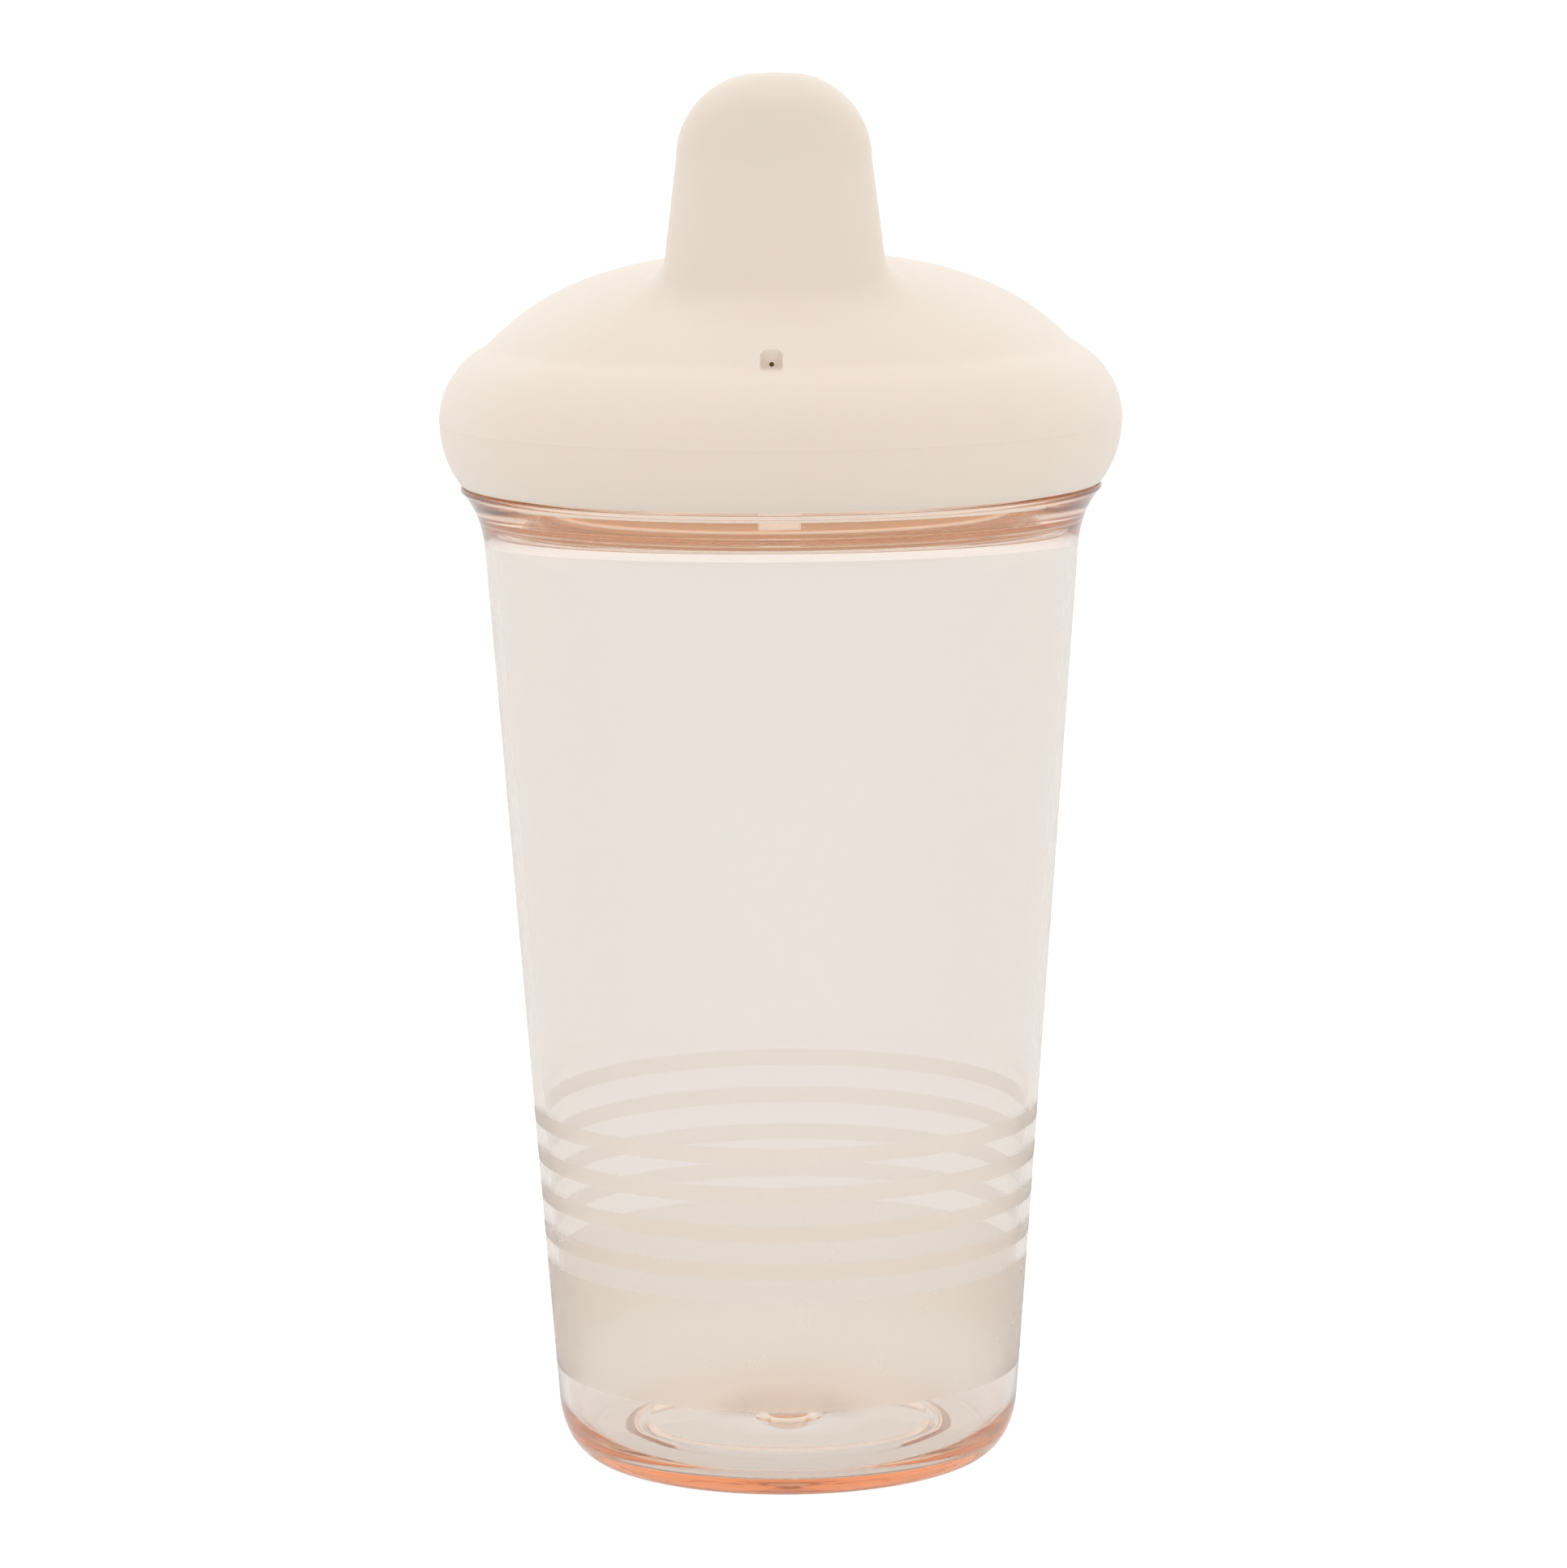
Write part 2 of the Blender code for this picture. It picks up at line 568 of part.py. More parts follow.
def make_valve(parts, helpers):
    """The silicone valve: an oval slit cup and a round one, joined by a web with a pull tab."""
    floor_top = SOCKET_END - VALVE_CLEARANCE
    floor_bottom = floor_top - VALVE_FLOOR
    cup_top = SOCKET_END + VALVE_CUP_DEPTH
    pocket_x = COLLAR_HALF_WIDTH + VALVE_CLEARANCE
    pocket_y = COLLAR_HALF_DEPTH + VALVE_CLEARANCE
    pocket_vent = VENT_BOSS_RADIUS + VALVE_CLEARANCE
    valve = rod("valve", 1.0, (0.0, -COLLAR_AXIS, floor_bottom), (0.0, -COLLAR_AXIS, cup_top), parts,
                sides=48, squash=(pocket_x + VALVE_WALL, pocket_y + VALVE_WALL))
    vent_cup = rod("valve_vent_cup", pocket_vent + VALVE_WALL, (0.0, -VENT_AXIS, floor_bottom),
                   (0.0, -VENT_AXIS, cup_top), helpers, sides=32)
    web = block("valve_web", (-WEB_WIDTH / 2, -VENT_AXIS, floor_bottom + VALVE_FLOOR / 8),
                (WEB_WIDTH / 2, -COLLAR_AXIS, floor_top - VALVE_FLOOR / 8), helpers)
    tab = block("valve_tab", (-TAB_WIDTH / 2, -COLLAR_AXIS + pocket_y - TAB_THICKNESS, floor_bottom - TAB_DROP),
                (TAB_WIDTH / 2, -COLLAR_AXIS + pocket_y, floor_top - VALVE_FLOOR / 4), helpers)
    for piece in (vent_cup, web, tab):
        combine(valve, piece, 'UNION')
    pocket = rod("valve_pocket", 1.0, (0.0, -COLLAR_AXIS, floor_top),
                 (0.0, -COLLAR_AXIS, cup_top + CUT_MARGIN), helpers, sides=48, squash=(pocket_x, pocket_y))
    vent_pocket = rod("valve_vent_pocket", pocket_vent, (0.0, -VENT_AXIS, floor_top),
                      (0.0, -VENT_AXIS, cup_top + CUT_MARGIN), helpers, sides=32)
    below = floor_bottom - TAB_DROP - CUT_MARGIN
    slit = slit_cross("valve_slit", (0.0, -COLLAR_AXIS), SLIT_LENGTH, below, floor_top + CUT_MARGIN / 4,
                      helpers)
    vent_slit = slit_cross("valve_vent_slit", (0.0, -VENT_AXIS), VENT_SLIT_LENGTH, below,
                           floor_top + CUT_MARGIN / 4, helpers)
    for cutter in (pocket, vent_pocket, slit, vent_slit):
        combine(valve, cutter, 'DIFFERENCE')
    finish(valve, (0.92, 0.91, 0.89), 0.35)
    return valve


def make_seal_ring(parts):
    """The flat silicone gasket on the neck's rim, under the lid's seal face."""
    inner = NECK_BORE + SEAL_INSET
    outer = SKIRT_BORE - PART_GAP
    bottom = NECK_TOP + PART_GAP
    top = bottom + SEAL_THICKNESS
    bevel = SEAL_THICKNESS / 5
    ring = turned("seal_ring", [(inner + bevel, top), (outer - bevel, top), (outer, top - bevel),
                                (outer, bottom + bevel), (outer - bevel, bottom), (inner + bevel, bottom),
                                (inner, bottom + bevel), (inner, top - bevel)], parts)
    finish(ring, (0.90, 0.88, 0.85), 0.45)
    return ring


def main():
    for obj in list(bpy.data.objects):
        bpy.data.objects.remove(obj, do_unlink=True)
    parts = new_collection("sippy_cup")
    helpers = new_collection("sippy_cup_cutters")
    make_cup(parts, helpers)
    make_seal_ring(parts)
    lid = make_lid(parts, helpers)
    valve = make_valve(parts, helpers)
    valve.parent = lid


main()
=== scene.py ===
"""Looks of the sippy cup: fine meshes and finishes for its four pieces, a floor, soft light and a camera.

The spout and the vent are at the front, towards -Y. All sizes are in metres.
"""
import json
import math

import bmesh
import bpy
from mathutils import Matrix, Vector


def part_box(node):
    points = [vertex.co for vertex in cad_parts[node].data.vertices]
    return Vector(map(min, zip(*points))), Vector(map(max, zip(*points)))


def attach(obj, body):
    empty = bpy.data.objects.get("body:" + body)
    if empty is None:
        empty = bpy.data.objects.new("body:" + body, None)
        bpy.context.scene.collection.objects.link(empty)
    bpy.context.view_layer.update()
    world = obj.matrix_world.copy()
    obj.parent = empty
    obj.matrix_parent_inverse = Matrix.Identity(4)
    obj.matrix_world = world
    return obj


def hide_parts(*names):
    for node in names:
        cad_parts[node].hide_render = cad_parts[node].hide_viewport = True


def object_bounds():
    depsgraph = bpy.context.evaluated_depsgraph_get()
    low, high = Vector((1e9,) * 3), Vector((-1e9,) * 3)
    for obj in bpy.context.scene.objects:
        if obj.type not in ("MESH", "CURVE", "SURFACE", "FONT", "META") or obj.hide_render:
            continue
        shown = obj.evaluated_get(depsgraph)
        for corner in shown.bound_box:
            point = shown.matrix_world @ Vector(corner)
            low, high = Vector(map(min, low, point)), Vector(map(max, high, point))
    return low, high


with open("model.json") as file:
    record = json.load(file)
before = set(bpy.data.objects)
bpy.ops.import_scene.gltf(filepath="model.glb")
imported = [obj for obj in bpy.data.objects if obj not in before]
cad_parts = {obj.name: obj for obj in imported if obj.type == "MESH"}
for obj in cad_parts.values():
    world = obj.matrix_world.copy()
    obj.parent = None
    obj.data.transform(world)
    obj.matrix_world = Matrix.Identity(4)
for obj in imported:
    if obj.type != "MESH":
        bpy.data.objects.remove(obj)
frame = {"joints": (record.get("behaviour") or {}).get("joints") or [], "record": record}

MM = 0.001
MODEL_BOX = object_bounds()

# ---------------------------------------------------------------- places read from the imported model

CUP_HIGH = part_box("cup_body")[1]
LID_LOW, LID_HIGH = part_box("lid")
SEAL_LOW, SEAL_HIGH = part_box("seal_ring")
VALVE_LOW, VALVE_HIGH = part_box("valve")
JOINTS = {joint["name"]: joint for joint in frame["joints"]}
THREAD_LEAD = frame["record"]["behaviour"]["couplings"][0]["ratio"] * 2 * math.pi

PART_GAP = 0.3 * MM
THREAD_CLEARANCE = 0.4 * MM

# Cup
FLANGE_RADIUS = CUP_HIGH.x
NECK_TOP = CUP_HIGH.z
SHOULDER = LID_LOW.z - PART_GAP
WALL_TAPER = math.radians(4.18)
CUP_WALL = 1.2 * MM
FLANGE_REACH = 2.2 * MM
FLANGE_LIP = 0.5 * MM
FLANGE_ROUND = 0.22 * MM
FLARE_HEIGHT = 7.8 * MM
FLARE_BEND = 0.42
LEDGE_DEPTH = 3.0 * MM
LEDGE_ROUND = 1.2 * MM
HEEL_WIDTH = 4.5 * MM
HEEL_HEIGHT = 7.5 * MM
HEEL_FLOOR = 2.6 * MM
FLOOR_RAISE = 2.0 * MM
FLOOR_TOP = 3.8 * MM
FLOOR_STEP = 2.6 * MM
RECESS_STEP = 1.0 * MM
FOOT_RECESS_RADIUS = 19.2 * MM
GATE_RADIUS = 2.4 * MM
GATE_HEIGHT = 0.7 * MM
GATE_RING_RADIUS = 4.3 * MM
GATE_GROOVE_HALF = 0.35 * MM
GATE_GROOVE_DEPTH = 0.10 * MM
GATE_GROOVE_ROUND = 0.25 * MM
FLOOR_ROUND = 2.2 * MM
FOOT_ROUND = 0.5 * MM
RECESS_ROUND = 0.8 * MM
SHOULDER_WALL_RADIUS = FLANGE_RADIUS - FLANGE_REACH
NECK_RADIUS = SHOULDER_WALL_RADIUS - 2.1 * MM
NECK_WALL = 1.6 * MM
NECK_BORE = NECK_RADIUS - NECK_WALL
THREAD_HEIGHT = 1.2 * MM
THREAD_STARTS = 2
THREAD_MARGIN = 0.8 * MM
RIDGE_BASE = 1.7 * MM
RIDGE_CREST = 0.8 * MM
RIDGE_ROOT_BURY = 0.4 * MM
RIDGE_SHOULDER = 0.86
RIDGE_SHOULDER_SPREAD = 0.58
RIDGE_TOP_SPREAD = 0.34

# Frosting on the cup's outside
BAND_HEIGHT = 1.95 * MM
BAND_PITCH = 4.6 * MM
BAND_COUNT = 4
LOWEST_BAND = 26.65 * MM
ZONE_LOW = 10.9 * MM
ZONE_HIGH = 24.05 * MM

# Lid
LID_RADIUS = LID_HIGH.x
LID_EDGE = LID_LOW.z
TIP = LID_HIGH.z
PARTING = JOINTS["lid_turn"]["pos_m"][2]
SKIRT_DROP = PARTING - LID_EDGE
LID_BULGE = LID_RADIUS - FLANGE_RADIUS
SKIRT_ARC = (SKIRT_DROP ** 2 + LID_BULGE ** 2) / (2 * LID_BULGE)
RIM_ARC = 9.7 * MM
CREASE_RISE = 8.8 * MM
CREASE = PARTING + CREASE_RISE
CREASE_RADIUS = LID_RADIUS - RIM_ARC + math.sqrt(RIM_ARC ** 2 - CREASE_RISE ** 2)
CREASE_BLEND = 0.7 * MM
CREASE_BLEND_RIM_SHARE = 1.3
DOME_TOP = CREASE + 10.7 * MM
DOME_CROWN_SHARE = 0.50
DOME_EDGE_SHARE = (0.79, 0.715)
PARTING_STEP = 0.05 * MM
PARTING_HALF_HEIGHT = 0.03 * MM
LID_WALL = 1.8 * MM
LID_EDGE_ROUND = 0.25 * MM
SKIRT_WALL = 1.5 * MM
SKIRT_LIFT = 3.1 * MM
SKIRT_ROUND = 0.3 * MM
POCKET_ROUND = 0.4 * MM
INSIDE_MARGIN = 0.3 * MM
EDGE_MARGIN = 0.1 * MM
SKIRT_BORE = SEAL_HIGH.x + PART_GAP
SKIRT_RADIUS = SKIRT_BORE + SKIRT_WALL
SEAL_FACE = SEAL_HIGH.z + PART_GAP
SEAT_RADIUS = NECK_BORE - 1.0 * MM

# Valve, and the collar and vent boss that it sits on
VALVE_CLEARANCE = 0.3 * MM
VALVE_WALL = 1.1 * MM
VALVE_FLOOR = 0.9 * MM
VALVE_SKIN = VALVE_CLEARANCE + VALVE_WALL
SOCKET_END = VALVE_HIGH.z - 2.0 * MM
COLLAR_HALF_WIDTH = VALVE_HIGH.x - VALVE_SKIN
COLLAR_HALF_DEPTH = 7.35 * MM
COLLAR_AXIS = COLLAR_HALF_DEPTH + VALVE_SKIN - VALVE_HIGH.y
COLLAR_WALL = 1.4 * MM
VENT_BOSS_RADIUS = 2.6 * MM
VENT_BOSS_WALL = 1.2 * MM
VENT_AXIS = -VALVE_LOW.y - VALVE_SKIN - VENT_BOSS_RADIUS
VENT_PASSAGE_RADIUS = 1.1 * MM
VENT_PASSAGE_LIFT = 4.3 * MM
VENT_RIB_HALF_WIDTH = 2.0 * MM
VENT_MOUTH_WIDTH = 2.5 * MM
VENT_MOUTH_HEIGHT = 2.7 * MM
VENT_MOUTH_DROP = 0.2 * MM
VENT_MOUTH_DEPTH = 2.0 * MM
VENT_MOUTH_FLARE = 0.16 * MM
VENT_HOLE_RADIUS = 0.18 * MM
VENT_HOLE_LIFT = 0.45 * MM
SLIT_LENGTH = 6.0 * MM
VENT_SLIT_LENGTH = 2.4 * MM
SLIT_WIDTH = 0.3 * MM
WEB_WIDTH = 6.0 * MM
TAB_WIDTH = 5.0 * MM
TAB_THICKNESS = 1.4 * MM

# Spout
SPOUT_AXIS = COLLAR_AXIS + 3.2 * MM
SPOUT_HALF_WIDTH = 11.1 * MM
SPOUT_HALF_DEPTH = 5.4 * MM
SPOUT_FLANK_SLOPE = 0.125
SPOUT_FACE_SLOPE = 0.105
TIP_ARC = 9.5 * MM
TIP_EDGE_ARC = 4.2 * MM
SPOUT_FILLET = 4.5 * MM
FILLET_HOLD = 0.56
SPOUT_SQUARENESS = 2.5
SPOUT_WALL = 1.7 * MM
DRINK_HOLE_RADIUS = 1.0 * MM
DRINK_HOLE_SPACING = 4.2 * MM
DRINK_HOLE_FLARE = 0.25 * MM

# Fineness of the meshes
TURN_STEPS = 288
SECTION_POINTS = 96
FILLET_STEPS = 5
SHARP_ANGLE = math.radians(32)
CUT_MARGIN = 2.0 * MM
AXIS_TOUCH = 0.0001 * MM
DOME_RINGS = 36
DOME_RING_BUNCHING = 0.9

# Floor, and the light that surfaces give off: the floor's even glow, and a painted glow on the lid's inner
# faces and on the silicone; the SEEN glow is added where the camera sees the floor directly
FLOOR_SIZE = 12.0
FLOOR_GLOW = 0.58
FLOOR_GLOW_SEEN = 0.35
LID_PAINTED_GLOW = 0.20
SILICONE_PAINTED_GLOW = 0.35
LIGHT_BOUNCES = 32


# ---------------------------------------------------------------- curves

def arc(centre, radius, start_deg, end_deg, steps):
    """Points on a circle in the (radius, height) plane, both ends included."""
    points = []
    for i in range(steps + 1):
        angle = math.radians(start_deg + (end_deg - start_deg) * i / steps)
        points.append((centre[0] + radius * math.cos(angle), centre[1] + radius * math.sin(angle)))
    return points


def bezier(points, steps):
    """Points on a Bezier curve of any degree, both ends included."""
    curve = []
    for i in range(steps + 1):
        t = i / steps
        level = [Vector(point) for point in points]
        while len(level) > 1:
            level = [a.lerp(b, t) for a, b in zip(level, level[1:])]
        curve.append(tuple(level[0]))
    return curve


def rounded(profile):
    """A profile in which each point that carries a radius as its third number becomes an arc."""
    points = []
    for k, point in enumerate(profile):
        if len(point) == 2:
            points.append(tuple(point))
            continue
        corner = Vector(point[:2])
        back = (Vector(profile[k - 1][:2]) - corner).normalized()
        ahead = (Vector(profile[k + 1][:2]) - corner).normalized()
        half = back.angle(ahead) / 2
        centre = corner + (back + ahead).normalized() * point[2] / math.sin(half)
        first = corner + back * point[2] / math.tan(half) - centre
        last = corner + ahead * point[2] / math.tan(half) - centre
        for i in range(FILLET_STEPS + 1):
            share = i / FILLET_STEPS
            turn = first.lerp(last, share).normalized() * point[2]
            points.append(tuple(centre + turn))
    return points


def superellipse(centre_y, half_x, half_y, height, squareness, count=SECTION_POINTS):
    """A ring of points, from a plain ellipse at squareness 2 towards a rounded box above it."""
    ring = []
    for i in range(count):
        angle = 2 * math.pi * i / count
        c, s = math.cos(angle), math.sin(angle)
        x = half_x * math.copysign(abs(c) ** (2 / squareness), c)
        y = half_y * math.copysign(abs(s) ** (2 / squareness), s)
        ring.append((x, centre_y + y, height))
    return ring


# ---------------------------------------------------------------- meshes

def finished(name, bm):
    """An object from a bmesh, with its faces pointing out."""
    bmesh.ops.recalc_face_normals(bm, faces=bm.faces)
    mesh = bpy.data.meshes.new(name)
    bm.to_mesh(mesh)
    bm.free()
    obj = bpy.data.objects.new(name, mesh)
    bpy.context.scene.collection.objects.link(obj)
    return obj


def skin(name, rings, closed=False):
    """A closed mesh through rings of points: equal rings, with a ring of one point as a pole at either end.

    closed joins the last ring to the first, for a torus.
    """
    bm = bmesh.new()
    rows = [[bm.verts.new(point) for point in ring] for ring in rings]
    pairs = list(zip(rows, rows[1:]))
    if closed:
        pairs.append((rows[-1], rows[0]))
    for upper, lower in pairs:
        count = max(len(upper), len(lower))
        for i in range(count):
            j = (i + 1) % count
            corners = (upper[i % len(upper)], upper[j % len(upper)],
                       lower[j % len(lower)], lower[i % len(lower)])
            bm.faces.new(list(dict.fromkeys(corners)))
    return finished(name, bm)


def capped(name, sections):
    """A solid through equal rings of points, with a flat face at each end."""
    bm = bmesh.new()
    rows = [[bm.verts.new(point) for point in section] for section in sections]
    for lower, upper in zip(rows, rows[1:]):
        for i in range(len(lower)):
            j = (i + 1) % len(lower)
            bm.faces.new((lower[i], lower[j], upper[j], upper[i]))
    bm.faces.new(reversed(rows[0]))
    bm.faces.new(rows[-1])
    return finished(name, bm)


def revolved(profile, count=TURN_STEPS):
    """Rings of points round the Z axis; a profile point on the axis becomes a pole."""
    angles = [2 * math.pi * i / count for i in range(count)]
    rings = []
    for radius, height in profile:
        if radius < AXIS_TOUCH:
            rings.append([(0.0, 0.0, height)])
        else:
            rings.append([(radius * math.cos(angle), radius * math.sin(angle), height) for angle in angles])
    return rings


def rod(name, radii, start, end, sides=64):
    """A cylinder or cone between two points, with its radius at each."""
    start, end = Vector(start), Vector(end)
    bm = bmesh.new()
    bmesh.ops.create_cone(bm, cap_ends=True, segments=sides, radius1=radii[0], radius2=radii[1],
                          depth=(end - start).length)
    turn = Vector((0.0, 0.0, 1.0)).rotation_difference(end - start).to_matrix().to_4x4()
    bm.transform(Matrix.Translation((start + end) / 2) @ turn)
    return finished(name, bm)


def block(name, low, high, bevel=0.0):
    """A box between two corners, with its edges rounded by a bevel."""
    low, high = Vector(low), Vector(high)
    bm = bmesh.new()
    bmesh.ops.create_cube(bm, size=1.0)
    bm.transform(Matrix.Translation((low + high) / 2) @ Matrix.Diagonal((*(high - low), 1.0)))
    if bevel:
        bmesh.ops.bevel(bm, geom=bm.edges, offset=bevel, segments=3, profile=0.5, affect='EDGES')
    return finished(name, bm)


def combine(obj, operation, others):
    """Apply a Boolean with other objects, which are used up."""
    group = bpy.data.collections.new(obj.name + "_helpers")
    bpy.context.scene.collection.children.link(group)
    for other in others:
        group.objects.link(other)
    modifier = obj.modifiers.new("combine", 'BOOLEAN')
    modifier.operation = operation
    modifier.operand_type = 'COLLECTION'
    modifier.collection = group
    modifier.solver = 'MANIFOLD'
    result = bpy.data.meshes.new_from_object(obj.evaluated_get(bpy.context.evaluated_depsgraph_get()))
    obj.modifiers.clear()
    obj.data = result
    for other in others:
        bpy.data.objects.remove(other)
    bpy.data.collections.remove(group)


def thread_ridge(name, root, crest, low, high, phase_height, start):
    """One right-hand ridge between two heights; its ends run out to the root.

    root and crest are radii, with the crest inside or outside of the root. phase_height is the height at
    which the ridge of start 0 crosses the +X side.
    """
    turns = (high - low) / THREAD_LEAD
    steps = round(TURN_STEPS * turns)
    runout = TURN_STEPS / 12
    first_turn = (low - phase_height) / THREAD_LEAD + start / THREAD_STARTS
    bury = math.copysign(RIDGE_ROOT_BURY, root - crest)
    sections = []
    for i in range(steps + 1):
        rise = math.sin(min(1.0, (min(i, steps - i) + 1) / runout) * math.pi / 2)
        height = low + (high - low) * i / steps
        angle = 2 * math.pi * (first_turn + turns * i / steps)
        top = root + (crest - root) * rise
        shoulder = root + (top - root) * RIDGE_SHOULDER
        upper = [(top, RIDGE_CREST * RIDGE_TOP_SPREAD), (shoulder, RIDGE_CREST * RIDGE_SHOULDER_SPREAD),
                 (root + bury, RIDGE_BASE / 2)]
        corners = [(r, -dz) for r, dz in reversed(upper)] + upper
        sections.append([(r * math.cos(angle), r * math.sin(angle), height + dz) for r, dz in corners])
    return capped(name, sections)


# ---------------------------------------------------------------- cup

def wall_radius(height):
    """Outer radius of the cup's straight tapered wall at a height above the floor."""
    return SHOULDER_WALL_RADIUS - (SHOULDER - height) * math.tan(WALL_TAPER)


def inner_radius(height):
    """Inner radius of the cup's straight wall at a height."""
    return wall_radius(height) - CUP_WALL


def heel_arc(depth, low_deg, steps, lift=0.0):
    """Points on the quarter ellipse between wall and foot, moved into the cup by a depth, wall first.

    lift is how far its lowest point lies above the foot.
    """
    wall_angle = -math.atan(math.tan(WALL_TAPER) * HEEL_HEIGHT / HEEL_WIDTH)
    wall_level = HEEL_HEIGHT * (1.0 + math.sin(wall_angle))
    centre = wall_radius(wall_level) - HEEL_WIDTH * math.cos(wall_angle)
    points = []
    for i in range(steps + 1):
        angle = wall_angle + (math.radians(low_deg) - wall_angle) * i / steps
        points.append((centre + (HEEL_WIDTH - depth) * math.cos(angle),
                       HEEL_HEIGHT + (HEEL_HEIGHT - lift) * math.sin(angle)))
    return points


def straight_wall(radius_at, low, high, steps):
    """Points up a straight wall, so that its faces stay short."""
    heights = [low + (high - low) * i / steps for i in range(steps + 1)]
    return [(radius_at(height), height) for height in heights]


def cup_profile():
    """The cup's section: up the inside from the floor's middle, over the neck and down the outside."""
    ring = GATE_RING_RADIUS
    gate = [(GATE_RADIUS * math.sin(math.radians(a)), FLOOR_TOP + GATE_HEIGHT * math.cos(math.radians(a)))
            for a in range(0, 85, 12)]
    floor = [(GATE_RADIUS + 0.15 * MM, FLOOR_TOP), (ring - GATE_GROOVE_HALF, FLOOR_TOP),
             (ring, FLOOR_TOP - GATE_GROOVE_DEPTH, GATE_GROOVE_ROUND), (ring + GATE_GROOVE_HALF, FLOOR_TOP),
             (0.6 * FOOT_RECESS_RADIUS, FLOOR_TOP), (FOOT_RECESS_RADIUS - FLOOR_STEP, FLOOR_TOP, FLOOR_ROUND)]
    ledge = SHOULDER - LEDGE_DEPTH
    heel_inside = list(reversed(heel_arc(CUP_WALL, -80, 20, HEEL_FLOOR)))
    inside = rounded(gate + floor + heel_inside[:2])[:-2] + heel_inside
    inside += straight_wall(inner_radius, heel_inside[-1][1], ledge - LEDGE_ROUND, 24)[1:]
    inside += bezier([(inner_radius(ledge - LEDGE_ROUND), ledge - LEDGE_ROUND), (inner_radius(ledge), ledge),
                      (inner_radius(ledge) - LEDGE_ROUND, ledge + FLANGE_LIP / 4)], 10)[1:]
    inside += rounded([inside[-1], (NECK_BORE, ledge + FLANGE_LIP, 0.4 * MM),
                       (NECK_BORE, NECK_TOP - NECK_WALL / 2)])[1:-1]
    rim = arc((NECK_BORE + NECK_WALL / 2, NECK_TOP - NECK_WALL / 2), NECK_WALL / 2, 180, 0, 16)
    lip_low = SHOULDER - FLANGE_LIP
    outside = rounded([rim[-1], (NECK_RADIUS, SHOULDER, 0.3 * MM), (FLANGE_RADIUS, SHOULDER, FLANGE_ROUND),
                       (FLANGE_RADIUS, lip_low, 0.12 * MM),
                       (FLANGE_RADIUS - FLANGE_LIP, lip_low - 0.35 * MM)])[1:-1]
    flare_start = SHOULDER - FLARE_HEIGHT
    outside += bezier([(FLANGE_RADIUS - FLANGE_LIP / 3, lip_low - 0.1 * MM),
                       (SHOULDER_WALL_RADIUS - FLANGE_LIP / 2, SHOULDER - FLARE_BEND * FLARE_HEIGHT),
                       (wall_radius(flare_start), flare_start)], 20)
    heel_outside = heel_arc(0.0, -90, 28)
    outside += reversed(straight_wall(wall_radius, heel_outside[0][1], flare_start, 32)[1:-1])
    outside += heel_outside[:-1]
    outside += rounded([heel_outside[-1], (FOOT_RECESS_RADIUS, 0.0, FOOT_ROUND),
                        (FOOT_RECESS_RADIUS - RECESS_STEP, FLOOR_RAISE, RECESS_ROUND),
                        (0.5 * FOOT_RECESS_RADIUS, FLOOR_RAISE)])
    return inside + rim + outside + [(0.0, FLOOR_RAISE)]


def make_cup():
    """The clear cup, one moulding with its threaded neck."""
    cup = skin("clear_cup", revolved(cup_profile()))
    low = SHOULDER + THREAD_MARGIN + RIDGE_BASE / 2
    high = NECK_TOP - NECK_WALL / 2 - RIDGE_BASE / 2
    ridges = [thread_ridge(f"neck_ridge_{start}", NECK_RADIUS, NECK_RADIUS + THREAD_HEIGHT, low, high,
                           SHOULDER, start) for start in range(THREAD_STARTS)]
    combine(cup, 'UNION', ridges)
    return cup


# ---------------------------------------------------------------- lid

DOME_POINTS = [Vector((0.0, DOME_TOP)), Vector((CREASE_RADIUS * DOME_CROWN_SHARE, DOME_TOP)),
               Vector((CREASE_RADIUS * DOME_EDGE_SHARE[0],
                       CREASE + (DOME_TOP - CREASE) * DOME_EDGE_SHARE[1])),
               Vector((CREASE_RADIUS, CREASE))]


def dome_at(radius):
    """Height of the dome's outside at a distance from the axis, and its slope there."""
    a, b, c, d = DOME_POINTS
    low, high = 0.0, 1.0
    for _ in range(26):
        t = (low + high) / 2
        spot = a * (1 - t) ** 3 + b * 3 * t * (1 - t) ** 2 + c * 3 * t * t * (1 - t) + d * t ** 3
        low, high = (t, high) if spot.x < radius else (low, t)
    along = (b - a) * (1 - t) ** 2 + (c - b) * 2 * t * (1 - t) + (d - c) * t * t
    return spot.y, along.y / along.x


def dome_inside(depth, radius_limit, steps):
    """The dome's section moved into the lid by a depth, from the axis out to a radius."""
    curve = [Vector(point) for point in bezier(DOME_POINTS, steps)]
    moved = [(0.0, DOME_TOP - depth)]
    for before, spot, after in zip(curve, curve[1:], curve[2:]):
        along = (after - before).normalized()
        inner = spot + Vector((along.y, -along.x)) * depth
        if inner.x < radius_limit:
            moved.append(tuple(inner))
    return moved


def skirt_arc(depth, steps):
    """The rim's lower arc, from its widest level down to the edge, moved into the lid by a depth."""
    end_deg = -math.degrees(math.asin(SKIRT_DROP / SKIRT_ARC))
    return arc((LID_RADIUS - SKIRT_ARC, PARTING), SKIRT_ARC - depth, 0, end_deg, steps)


def crease_profile():
    """The soft crease: a short blend from the dome to the rim's upper arc."""
    dome_radius = CREASE_RADIUS - CREASE_BLEND
    rim_deg = math.degrees(math.asin(CREASE_RISE / RIM_ARC) - CREASE_BLEND / RIM_ARC * CREASE_BLEND_RIM_SHARE)
    rim_start = arc((LID_RADIUS - RIM_ARC, PARTING), RIM_ARC, rim_deg, 0, 1)[0]
    blend = bezier([(dome_radius, dome_at(dome_radius)[0]), (CREASE_RADIUS, CREASE), rim_start], 8)
    return blend, rim_deg


